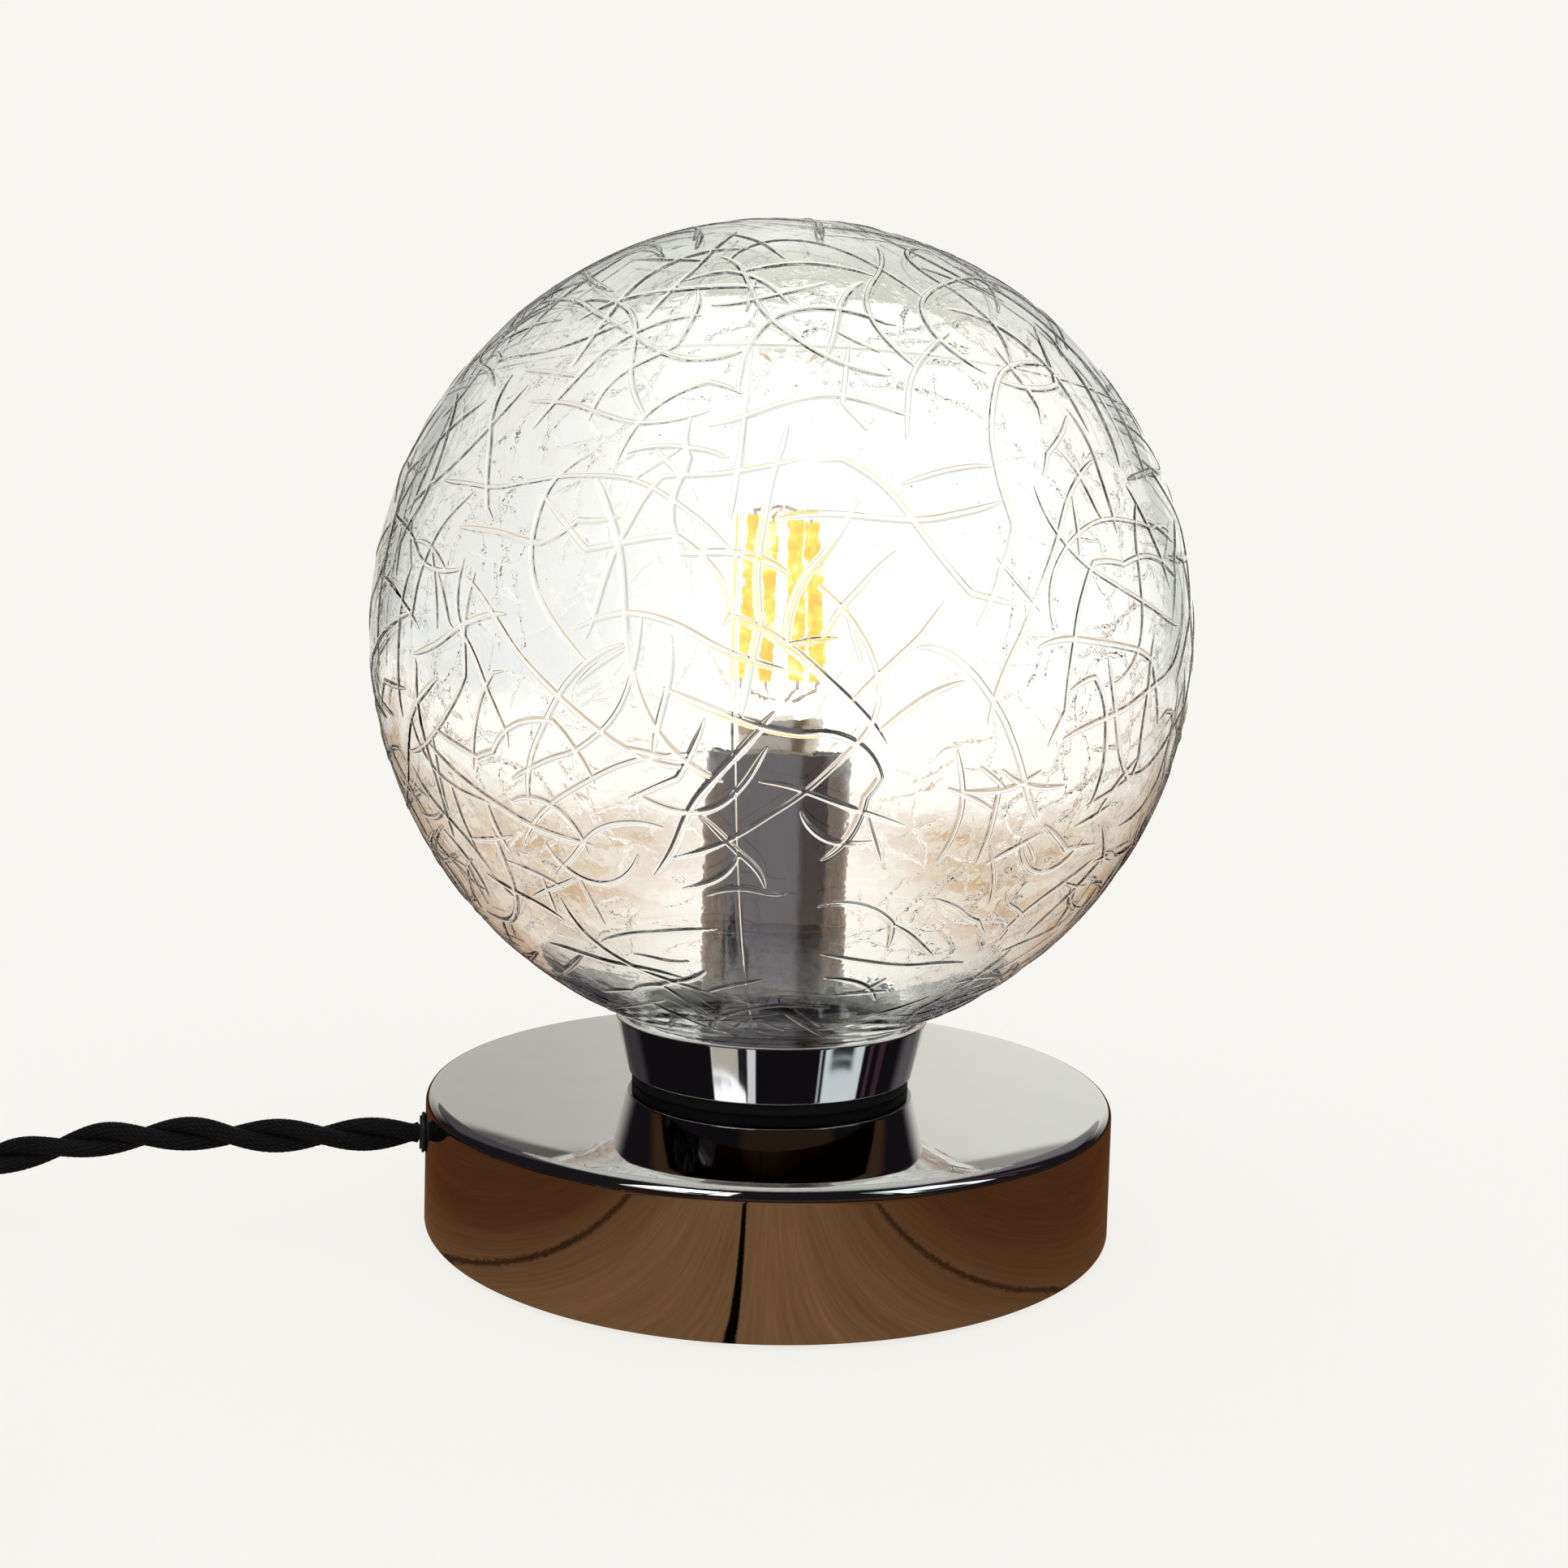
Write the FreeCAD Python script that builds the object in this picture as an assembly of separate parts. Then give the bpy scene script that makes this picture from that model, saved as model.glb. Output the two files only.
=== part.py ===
import FreeCAD, Part
import math
import os

os.makedirs("parts", exist_ok=True)

V = FreeCAD.Vector
Z = V(0, 0, 1)
X = V(1, 0, 0)
Y = V(0, 1, 0)

# ---------------------------------------------------------------------------
# Driving dimensions, in mm. Origin: centre of the underside. +Z up.
# The cord leaves the base along -X.
# ---------------------------------------------------------------------------
BASE_R = 62.5            # outside radius of the base
BASE_H = 23.2            # table to top of the base
BASE_EDGE = 2.0          # rounding between top and side
BASE_T = 1.2             # sheet thickness
BASE_LIFT = 0.5          # gap between the side wall's lower edge and the table

FELT_R, FELT_T = 59.5, 1.4
PLATE_R, PLATE_T = 60.6, 1.5
WEIGHT_R, WEIGHT_BORE_R, WEIGHT_T = 54.0, 18.0, 8.0
PILLAR_PCR = 42.0        # pitch radius of the three base screws

EXIT_Z = 15.7            # height of the cord outlet
CORD_D = 5.8             # across the twisted pair
CORD_R = CORD_D / 2.0

GAP = 2.0                # spacer under the collar
CUP_RB, CUP_RT, CUP_H, CUP_T = 25.5, 28.5, 9.6, 1.0

GLOBE_R = 73.2
GLASS_T = 3.0
GLOBE_Z = 104.0
NECK_T = 2.6
NECK_GAP = 0.25

SLEEVE_R, SLEEVE_T, SLEEVE_TOP = 13.5, 0.7, 84.0
E14_R = 7.0
E14_PITCH = 2.822

BULB_TIP_Z = 61.0
BULB_CAP_TOP = 90.0
BULB_TOP = 159.0

SW_X0, SW_X1, SW_Y, SW_W, SW_H = -213.0, -153.0, 13.0, 22.0, 16.4
COIL_X, COIL_Y, COIL_RM, COIL_HALF = -218.0, -60.0, 33.0, 8.9
COIL_Z0, COIL_Z1 = 0.7, 17.5
LIE_Z = COIL_Z0 + CORD_R

SHELL_IN_TOP = BASE_H - BASE_T
CUP_Z0 = BASE_H + GAP
CUP_Z1 = CUP_Z0 + CUP_H


# ---------------------------------------------------------------------------
# helpers
# ---------------------------------------------------------------------------
def lathe(pts, centre=(0, 0)):
    """Solid of revolution about Z from a closed (r, z) outline."""
    vs = [V(r, 0, z) for r, z in pts]
    vs.append(vs[0])
    face = Part.Face(Part.makePolygon(vs))
    s = face.revolve(V(0, 0, 0), Z, 360)
    s.translate(V(centre[0], centre[1], 0))
    return s


def lathe_wire(edges):
    face = Part.Face(Part.Wire(Part.__sortEdges__(edges)))
    return face.revolve(V(0, 0, 0), Z, 360)


def line(a, b):
    return Part.LineSegment(V(a[0], 0, a[1]), V(b[0], 0, b[1])).toShape()


def arc(a, m, b):
    return Part.Arc(V(a[0], 0, a[1]), V(m[0], 0, m[1]), V(b[0], 0, b[1])).toShape()


def cyl(r, h, base, axis=Z):
    return Part.makeCylinder(r, h, V(*base), axis)


def block(x0, x1, y0, y1, z0, z1):
    return Part.makeBox(x1 - x0, y1 - y0, z1 - z0, V(x0, y0, z0))


def hexagon(af, h, z0, bore, x=0, y=0):
    r = af / math.sqrt(3)
    vs = [V(x + r * math.cos(math.radians(60 * i)), y + r * math.sin(math.radians(60 * i)), z0) for i in range(7)]
    s = Part.Face(Part.makePolygon(vs)).extrude(V(0, 0, h))
    c = 0.4
    ch = lathe([(0, z0), (r - c * 1.6, z0), (r + 0.2, z0 + c), (r + 0.2, z0 + h - c), (r - c * 1.6, z0 + h), (0, z0 + h)], (x, y))
    return s.common(ch).cut(cyl(bore, h + 2, (x, y, z0 - 1)))


def route(points, radius, name):
    """Round tube along straight runs joined by tangent arcs."""
    P = [V(*p) for p in points]
    n = len(P)
    edges = []
    start = P[0]
    length = 0.0
    radii = []
    for i in range(1, n - 1):
        a = P[i] - P[i - 1]
        b = P[i + 1] - P[i]
        la, lb = a.Length, b.Length
        ua, ub = V(a).normalize(), V(b).normalize()
        turn = ua.getAngle(ub)
        cut = 0.45 * min(la, lb)
        rad = cut / math.tan(turn / 2.0)
        t0 = P[i] - ua * cut
        t1 = P[i] + ub * cut
        bis = (ub - ua).normalize()
        centre = P[i] + bis * (rad / math.cos(turn / 2.0))
        mid = centre - bis * rad
        if (t0 - start).Length > 1e-6:
            edges.append(Part.LineSegment(start, t0).toShape())
            length += (t0 - start).Length
        edges.append(Part.Arc(t0, mid, t1).toShape())
        length += rad * turn
        radii.append(rad)
        start = t1
    edges.append(Part.LineSegment(start, P[-1]).toShape())
    length += (P[-1] - start).Length
    wire = Part.Wire(edges)
    d0 = (P[1] - P[0]).normalize()
    prof = Part.Wire([Part.Circle(P[0], d0, radius).toShape()])
    s = wire.makePipeShell([prof], True, False, 2)
    want = math.pi * radius ** 2 * length
    runs = [round((P[i + 1] - P[i]).Length, 1) for i in range(n - 1)]
    print("%s length %.1f volume/section*length %.4f valid %s radii/d %s runs %s" % (
        name, length, s.Volume / want, s.isValid(), [round(r / (2 * radius), 1) for r in radii], runs))
    return s, length


def save(name, shape):
    if isinstance(shape, (list, tuple)):
        shape = Part.makeCompound(list(shape))
    solids = shape.Solids
    if len(solids) == 1:
        shape = solids[0]
    ok = all(s.isValid() for s in solids) and len(solids) > 0
    b = shape.BoundBox
    print("%-22s solids %d valid %s vol %9.1f  x %.1f..%.1f y %.1f..%.1f z %.2f..%.2f" % (
        name, len(solids), ok, shape.Volume, b.XMin, b.XMax, b.YMin, b.YMax, b.ZMin, b.ZMax))
    shape.exportStep("parts/%s.step" % name)


def ring_pts(n, r, a0=90.0):
    return [(r * math.cos(math.radians(a0 + 360.0 * i / n)), r * math.sin(math.radians(a0 + 360.0 * i / n))) for i in range(n)]


SCREWS = ring_pts(3, PILLAR_PCR, 0.0)

# ---------------------------------------------------------------------------
# base
# ---------------------------------------------------------------------------
H, R, F, T = BASE_H, BASE_R, BASE_EDGE, BASE_T
s45 = math.sin(math.radians(45))
Fi = F - 0.6
outer = [line((5.3, H), (R - F, H)), arc((R - F, H), (R - F + F * s45, H - F + F * s45), (R, H - F)),
         line((R, H - F), (R, BASE_LIFT)), line((R, BASE_LIFT), (R - T, BASE_LIFT)),
         line((R - T, BASE_LIFT), (R - T, H - T - Fi)),
         arc((R - T, H - T - Fi), (R - T - Fi + Fi * s45, H - T - Fi + Fi * s45), (R - T - Fi, H - T)),
         line((R - T - Fi, H - T), (5.3, H - T)), line((5.3, H - T), (5.3, H))]
shell = lathe_wire(outer)
shell = shell.cut(cyl(3.5, 8, (-R - 3, 0, EXIT_Z), X))
save("base_shell", shell)

pillars = []
screws = []
weight = lathe([(WEIGHT_BORE_R, 2.9), (WEIGHT_R - 0.8, 2.9), (WEIGHT_R, 3.7), (WEIGHT_R, 2.9 + WEIGHT_T - 0.8),
                (WEIGHT_R - 0.8, 2.9 + WEIGHT_T), (WEIGHT_BORE_R + 0.8, 2.9 + WEIGHT_T), (WEIGHT_BORE_R, 2.9 + WEIGHT_T - 0.8)])
WT = 2.9 + WEIGHT_T
plate = lathe([(0, FELT_T), (PLATE_R - 0.3, FELT_T), (PLATE_R, FELT_T + 0.3), (PLATE_R, FELT_T + PLATE_T), (0, FELT_T + PLATE_T)])
for x, y in SCREWS:
    weight = weight.cut(cyl(1.8, WEIGHT_T + 2, (x, y, 2)))
    plate = plate.cut(lathe([(0, FELT_T - 0.2), (3.12, FELT_T - 0.2), (3.0, FELT_T), (1.65, FELT_T + 1.35), (1.65, FELT_T + 2), (0, FELT_T + 2)], (x, y)))
    p = cyl(3.5, SHELL_IN_TOP - WT, (x, y, WT)).cut(cyl(1.5, 8.0, (x, y, WT)))
    pillars.append(p)
    sc = lathe([(0, FELT_T + 0.02), (2.9, FELT_T + 0.02), (1.45, FELT_T + 1.45), (1.45, WT + 6.6), (1.0, WT + 7.0), (0, WT + 7.0)], (x, y))
    sc = sc.cut(block(x - 1.7, x + 1.7, y - 0.3, y + 0.3, FELT_T - 1, FELT_T + 0.8)).cut(block(x - 0.3, x + 0.3, y - 1.7, y + 1.7, FELT_T - 1, FELT_T + 0.8))
    screws.append(sc)
CLX = -44.0
for y in (-7.0, 7.0):
    weight = weight.cut(cyl(1.5, 6.0, (CLX, y, WT - 6.0)))
save("base_weight", weight)
save("bottom_plate", plate)
save("felt_pad", lathe([(0, 0), (FELT_R - 0.3, 0), (FELT_R, 0.3), (FELT_R, FELT_T), (0, FELT_T)]))
save("base_pillars", pillars)
save("base_screws", screws)

# cord outlet: moulded grommet snapped into the side hole
gr = cyl(3.8, 1.0, (-R - 1.0, 0, EXIT_Z), X).fuse(cyl(3.42, 3.6, (-R - 0.5, 0, EXIT_Z), X)).fuse(cyl(4.1, 1.2, (-R + T + 0.35, 0, EXIT_Z), X))
gr = gr.cut(cyl(3.0, 8, (-R - 2, 0, EXIT_Z), X)).removeSplitter()
gr = gr.makeFillet(0.3, [e for e in gr.Edges if abs(e.BoundBox.XMin + R + 1.0) < 1e-4 and abs(e.BoundBox.XMax + R + 1.0) < 1e-4 and e.BoundBox.ZLength > 7.0])
save("cord_grommet", gr)

# cord clamp on the weight
cb = block(CLX - 5, CLX + 5, -11, 11, WT, 15.5).cut(cyl(CORD_R + 0.02, 14, (CLX - 7, 0, EXIT_Z), X))
cc = block(CLX - 4.5, CLX + 4.5, -11, 11, 15.9, 20.4).cut(cyl(CORD_R + 0.02, 14, (CLX - 7, 0, EXIT_Z), X))
cs = []
for y in (-7.0, 7.0):
    cb = cb.cut(cyl(1.6, 20, (CLX, y, WT - 2)))
    cc = cc.cut(cyl(1.6, 20, (CLX, y, WT - 2))).cut(cyl(3.0, 2, (CLX, y, 19.0)))
    s = cyl(1.45, 24 - 13.5 + 3.0, (CLX, y, WT - 5.0)).fuse(cyl(2.75, 1.8, (CLX, y, 19.05)))
    s = s.common(block(CLX - 4, CLX + 4, y - 4, y + 4, WT - 5.0, 20.85))
    s = s.cut(block(CLX - 3, CLX + 3, y - 0.35, y + 0.35, 20.1, 22))
    cs.append(s)
save("cord_clamp_base", cb)
save("cord_clamp_cap", cc)
save("cord_clamp_screws", cs)

# cord inside the base, then its two cores
CORE_X = -33.0
save("cord_inner", cyl(CORD_R, (R + 1.0) + CORE_X, (-R - 1.0, 0, EXIT_Z), X))

# ---------------------------------------------------------------------------
# centre tube, nuts, collar
# ---------------------------------------------------------------------------
NIP0, NIP1 = 17.0, 33.2
save("threaded_nipple", lathe([(3.9, NIP0 + 0.4), (4.3, NIP0), (4.5, NIP0), (4.95, NIP0 + 0.4), (4.95, NIP1 - 0.4), (4.5, NIP1), (4.3, NIP1), (3.9, NIP1 - 0.4)]))
save("lower_nut", hexagon(14.0, 2.8, 18.0, 5.0))
wash = cyl(9.0, 1.15, (0, 0, 20.82)).cut(cyl(5.2, 4, (0, 0, 19)))
for i in range(12):
    a = math.radians(30 * i)
    wash = wash.cut(cyl(0.9, 4, (9.2 * math.cos(a), 9.2 * math.sin(a), 19)))
save("lock_washer", wash)
save("collar_spacer", lathe([(5.2, BASE_H), (20.0, BASE_H), (20.0, CUP_Z0), (5.2, CUP_Z0)]))

dr = (CUP_RT - CUP_RB) / CUP_H
def cup_out(z):
    return CUP_RB + dr * (z - CUP_Z0)
def cup_in(z):
    return cup_out(z) - CUP_T
FL = CUP_Z0 + CUP_T
e = 0.5
cup = lathe([(5.2, CUP_Z0), (CUP_RB - e, CUP_Z0), (CUP_RB - 0.15, CUP_Z0 + 0.15), (CUP_RB + dr * e, CUP_Z0 + e),
             (cup_out(CUP_Z1 - 0.3), CUP_Z1 - 0.3), (CUP_RT - 0.1, CUP_Z1 - 0.08), (CUP_RT - 0.35, CUP_Z1),
             (cup_in(CUP_Z1) + 0.3, CUP_Z1), (cup_in(CUP_Z1), CUP_Z1 - 0.3), (cup_in(FL), FL), (5.2, FL)])
save("collar_cup", cup)
save("upper_nut", hexagon(14.0, 3.0, FL, 5.0))

# soft ring that grips the globe's neck
GZ1 = 33.8
save("neck_gasket", lathe([(17.0, FL), (cup_in(FL) - 0.02, FL), (cup_in(GZ1) - 0.02, GZ1), (cup_in(GZ1) - 1.0, GZ1),
                           (cup_in(FL + 1.0) - 1.0, FL + 1.0), (17.0, FL + 1.0)]))

# ---------------------------------------------------------------------------
# globe: blown clear glass, open at a short tapered neck
# ---------------------------------------------------------------------------
NZ0 = FL + 1.0 + 0.1
def neck_out(z):
    return cup_in(z) - 1.0 - NECK_GAP
def sphere_z(r, rad):
    return GLOBE_Z - math.sqrt(rad * rad - r * r)
RI = GLOBE_R - GLASS_T
zt = CUP_Z1
for _ in range(40):
    zt = sphere_z(neck_out(zt), GLOBE_R)
rt = neck_out(zt)
zi = zt
for _ in range(40):
    zi = sphere_z(neck_out(zi) - NECK_T, RI)
ri = neck_out(zi) - NECK_T
r0, r1 = neck_out(NZ0 + 0.6), neck_out(NZ0) - NECK_T
edges = [line((ri, zi), (r1, NZ0 + 0.5)), line((r1, NZ0 + 0.5), (r1 + 0.5, NZ0)), line((r1 + 0.5, NZ0), (r0 - 0.8, NZ0)),
         line((r0 - 0.8, NZ0), (r0, NZ0 + 0.6)), line((r0, NZ0 + 0.6), (rt, zt)),
         arc((rt, zt), (GLOBE_R, GLOBE_Z), (0, GLOBE_Z + GLOBE_R)),
         line((0, GLOBE_Z + GLOBE_R), (0, GLOBE_Z + RI)),
         arc((0, GLOBE_Z + RI), (RI, GLOBE_Z), (ri, zi))]
save("globe", lathe_wire(edges))
print("globe neck: outer %.2f at %.2f, inner %.2f at %.2f, mouth inner %.2f" % (rt, zt, ri, zi, r1))

# ---------------------------------------------------------------------------
# lampholder
# ---------------------------------------------------------------------------
SI = SLEEVE_R - SLEEVE_T
save("lampholder_sleeve", lathe([(SI, FL), (SLEEVE_R, FL), (SLEEVE_R, SLEEVE_TOP - 0.25), (SLEEVE_R - 0.25, SLEEVE_TOP),
                                 (SI + 0.1, SLEEVE_TOP), (SI, SLEEVE_TOP - 0.1)]))
HB0 = FL + 3.0
lb = lathe([(5.0, HB0), (11.6, HB0), (12.4, HB0 + 0.8), (12.4, 42.0), (10.4, 42.0), (10.4, HB0 + 4.2), (5.0, HB0 + 4.2)])
save("lampholder_base", lb)
hb = lathe([(0, 42.0), (12.4, 42.0), (12.4, 81.2), (11.6, 82.0), (8.6, 82.0), (8.0, 81.4), (8.0, 58.0), (0, 58.0)])
for y in (-1, 1):
    hb = hb.cut(block(-3.2, 3.2, min(4.0 * y, 10.5 * y), max(4.0 * y, 10.5 * y), 41.0, 53.0))
    hb = hb.cut(cyl(1.3, 4, (0, 9.8 * y if y < 0 else 9.8, 47.0), V(0, y, 0)))
hb = hb.cut(block(-9.9, -8.3, -2.2, 2.2, 41.0, 60.0))
save("lampholder_body", hb)
shell_in = E14_R + 0.08
sh = [(shell_in, 58.6)]
prof_o, prof_i = [], []
z = 58.6
sh = lathe([(5.6, 58.05), (7.9, 58.05), (7.9, 80.4), (shell_in, 80.4), (shell_in, 58.8), (5.6, 58.8)])
save("screw_shell", sh)
cc1 = block(-1.6, 1.6, -4.8, 4.8, 58.0, 58.5)
tong = Part.makePolygon([V(0, -4.8, 58.5), V(0, -4.3, 58.5), V(0, -0.9, 60.55), V(0, 1.4, 60.55), V(0, 1.4, 60.95), V(0, -1.2, 60.95), V(0, -4.8, 58.9), V(0, -4.8, 58.5)])
tg = Part.Face(tong).extrude(V(3.2, 0, 0))
tg.translate(V(-1.6, 0, 0))
save("centre_contact", cc1.fuse(tg).removeSplitter())
terms, tscr = [], []
for y in (-1, 1):
    c = 7.0 * y
    t = block(-2.8, 2.8, c - 2.4, c + 2.4, 44.0, 52.4)
    t = t.cut(cyl(1.15, 5.4, (0, c, 43.0)))
    t = t.cut(cyl(1.28, 6, (0, c + 0.0, 47.0), V(0, y, 0)))
    terms.append(t)
    q = cyl(1.2, 2.4, (0, c + 1.2 * y, 47.0), V(0, y, 0))
    q = q.cut(block(-0.25, 0.25, min(c + 3.1 * y, c + 4 * y), max(c + 3.1 * y, c + 4 * y), 45, 49))
    tscr.append(q)
save("terminals", terms)
save("terminal_screws", tscr)

# two insulated cores: clamp end -> under the centre tube -> up to the terminals
for name, y in (("core_live", 1.0), ("core_neutral", -1.0)):
    pts = [(CORE_X, 1.35 * y, EXIT_Z), (-28.0, 1.35 * y, EXIT_Z), (-20.0, 1.3 * y, 12.9), (-10.5, 1.25 * y, 11.9), (-1.6, 1.25 * y, 15.4), (0.3, 1.25 * y, 24.5),
           (0.0, 1.3 * y, 31.5), (0.0, 4.0 * y, 37.0), (0.0, 7.0 * y, 41.0), (0.0, 7.0 * y, 46.6)]
    s, L = route(pts, 1.0, name)
    save(name, s)

# ---------------------------------------------------------------------------
# bulb: candle-shaped envelope on a 14 mm screw cap
# ---------------------------------------------------------------------------
B0 = BULB_TIP_Z
save("bulb_tip_contact", lathe([(0, B0), (1.6, B0), (2.6, B0 + 0.6), (2.6, B0 + 1.4), (0, B0 + 1.4)]))
save("bulb_insulator", lathe([(0, B0 + 1.4), (3.2, B0 + 1.4), (5.6, B0 + 3.4), (5.6, B0 + 4.4), (0, B0 + 4.4)]))
zc0 = B0 + 4.4
th = [(0, zc0), (5.8, zc0), (6.5, zc0 + 1.0)]
z = zc0 + 1.4
k = 0
while z < zc0 + 16.0:
    th += [(E14_R, z), (E14_R, z + 0.9), (6.5, z + 1.5), (6.5, z + 2.0)]
    z += E14_PITCH
zskirt = z
th += [(E14_R, z + 0.4), (E14_R, zskirt + 2.4), (7.9, zskirt + 5.0), (7.9, BULB_CAP_TOP), (7.4, BULB_CAP_TOP), (7.4, BULB_CAP_TOP - 4.5), (0, BULB_CAP_TOP - 4.5)]
save("bulb_cap", lathe(th))
print("cap thread ends", zskirt)

prof = [(7.0, 86.0), (7.05, 89.0), (8.0, 92.0), (10.6, 97.0), (13.9, 103.0), (16.4, 109.5), (17.4, 117.0), (16.6, 126.0), (13.9, 135.5),
        (10.2, 144.0), (6.4, 151.0), (3.4, 155.8), (1.4, 158.3), (0.0, BULB_TOP)]
crv = Part.BSplineCurve()
tan0, tan1 = V(0, 0, 1), V(-1, 0, 0.0)
crv.interpolate(Points=[V(r, 0, z) for r, z in prof], InitialTangent=tan0, FinalTangent=tan1)
BT = 0.7
inner = []
a0, a1 = crv.FirstParameter, crv.LastParameter
for i in range(33):
    u = a0 + (a1 - a0) * i / 32.0
    p = crv.value(u)
    t = crv.tangent(u)[0]
    nrm = V(-t.z, 0, t.x)
    if nrm.x > 0:
        nrm = nrm * -1
    q = p + nrm * BT
    inner.append(q)
inner[-1] = V(0, 0, BULB_TOP - BT)
inner = [q for i, q in enumerate(inner) if q.x > 0.35 or i == 32]
ci = Part.BSplineCurve()
ci.interpolate(Points=inner, InitialTangent=tan0, FinalTangent=tan1)
pa, pb = V(7.0, 0, 86.0), inner[0]
bw = [crv.toShape(), Part.LineSegment(V(0, 0, BULB_TOP), V(0, 0, BULB_TOP - BT)).toShape(), ci.toShape(), Part.LineSegment(pb, pa).toShape()]
save("bulb_glass", lathe_wire(bw))
# flare and stem that carry the filaments
save("bulb_stem", lathe([(0, 86.2), (5.6, 86.2), (5.6, 87.0), (3.2, 89.0), (2.3, 91.0), (2.1, 95.0), (1.5, 99.0), (1.2, 128.5), (0.6, 129.3), (0, 129.3)]))
fil, leads = [], []
for i, ang in enumerate((7.8, 97.8, 187.8, 277.8)):
    a = math.radians(ang)
    ca, sa = math.cos(a), math.sin(a)
    lo = V(7.6 * ca, 7.6 * sa, 97.5)
    hi = V(5.6 * ca, 5.6 * sa, 127.0)
    d = hi - lo
    f = Part.makeCylinder(1.45, d.Length, lo, d)
    fil.append(f)
    u = V(d).normalize()
    w = Part.makeCylinder(0.3, 1.6, lo - u * 1.6, u)
    p0 = lo - u * 1.6
    p1 = V(2.4 * ca, 2.4 * sa, 93.5)
    w = w.fuse(Part.makeSphere(0.3, p0)).fuse(Part.makeCylinder(0.3, (p1 - p0).Length, p0, p1 - p0))
    w2 = Part.makeCylinder(0.3, 1.0, hi, u)
    q0 = hi + u * 1.0
    q1 = V(0.75 * ca, 0.75 * sa, 129.0)
    w2 = w2.fuse(Part.makeSphere(0.3, q0)).fuse(Part.makeCylinder(0.3, (q1 - q0).Length, q0, q1 - q0))
    stem_cut = lathe([(0, 90.0), (2.35, 91.0), (2.15, 95.0), (1.55, 99.0), (1.25, 128.5), (0.65, 129.35), (0, 129.35)])
    leads.append(w.cut(stem_cut))
    leads.append(w2.cut(stem_cut))
save("led_filaments", fil)
save("filament_leads", leads)

# ---------------------------------------------------------------------------
# switch on the cord
# ---------------------------------------------------------------------------
SPLIT = 8.0
SXM = (SW_X0 + SW_X1) / 2.0

def housing(z0, z1):
    b = block(SW_X0, SW_X1, SW_Y - SW_W / 2, SW_Y + SW_W / 2, z0, z1)
    return b

body = block(SW_X0, SW_X1, SW_Y - SW_W / 2, SW_Y + SW_W / 2, 0, SW_H)
body = body.makeFillet(7.0, [ed for ed in body.Edges if ed.BoundBox.ZLength > 10])
body = body.makeFillet(1.8, [ed for ed in body.Edges if ed.BoundBox.ZLength < 1e-6 and abs(ed.BoundBox.ZMax - SW_H) < 1e-6])
body = body.makeFillet(0.8, [ed for ed in body.Edges if ed.BoundBox.ZLength < 1e-6 and abs(ed.BoundBox.ZMin) < 1e-6])
for x0 in (SW_X0 - 1, SW_X1 - 3.0):
    body = body.cut(cyl(CORD_R + 0.05, 4.0, (x0, SW_Y, SPLIT), X))
inner = block(SW_X0 + 6.0, SW_X1 - 6.0, SW_Y - SW_W / 2 + 1.8, SW_Y + SW_W / 2 - 1.8, 1.8, SW_H - 1.8)
RKX, RKY = 10.0, 5.5          # half size of the rocker opening
hollow = body.cut(inner)
hollow = hollow.cut(block(SXM - RKX, SXM + RKX, SW_Y - RKY, SW_Y + RKY, SW_H - 3, SW_H + 1))
lower = hollow.common(block(SW_X0 - 5, SW_X1 + 5, SW_Y - 30, SW_Y + 30, -1, SPLIT))
upper = hollow.common(block(SW_X0 - 5, SW_X1 + 5, SW_Y - 30, SW_Y + 30, SPLIT, 30))
# bearing cheeks for the rocker hang from the cover
PIV_Z = 12.4
for sgn in (-1, 1):
    y0, y1 = sorted((SW_Y + sgn * 6.3, SW_Y + sgn * 7.9))
    cheek = block(SXM - 3.0, SXM + 3.0, y0, y1, PIV_Z - 2.6, SW_H - 1.7)
    upper = upper.fuse(cheek)
upper = upper.cut(cyl(1.25, 17.0, (SXM, SW_Y - 8.5, PIV_Z), Y)).removeSplitter()
sw_screws = []
for x in (SW_X0 + 11.0, SW_X1 - 11.0):
    post = cyl(2.6, SPLIT - 1.8, (x, SW_Y, 1.8))
    post2 = cyl(2.6, SW_H - 1.8 - SPLIT, (x, SW_Y, SPLIT))
    lower = lower.fuse(post)
    upper = upper.fuse(post2)
    lower = lower.cut(cyl(1.5, 20, (x, SW_Y, -1))).cut(cyl(2.45, 3.0, (x, SW_Y, -1)))
    upper = upper.cut(cyl(1.2, 5.0, (x, SW_Y, SPLIT)))
    q = cyl(1.15, 9.0, (x, SW_Y, 3.0)).fuse(cyl(2.3, 1.4, (x, SW_Y, 0.6)))
    q = q.fuse(cyl(1.15, 2.0, (x, SW_Y, 1.9)))
    q = q.cut(block(x - 1.5, x + 1.5, SW_Y - 0.3, SW_Y + 0.3, 0, 1.2)).cut(block(x - 0.3, x + 0.3, SW_Y - 1.5, SW_Y + 1.5, 0, 1.2))
    sw_screws.append(q)
# end blocks carry the cord clamps
for x0, x1 in ((SW_X0 + 5.9, SW_X0 + 7.4), (SW_X1 - 7.4, SW_X1 - 5.9)):
    lower = lower.fuse(block(x0, x1, SW_Y - 9.3, SW_Y + 9.3, 1.7, 5.0))
save("switch_lower", lower.removeSplitter())
save("switch_upper", upper.removeSplitter())
save("switch_screws", sw_screws)
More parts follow.
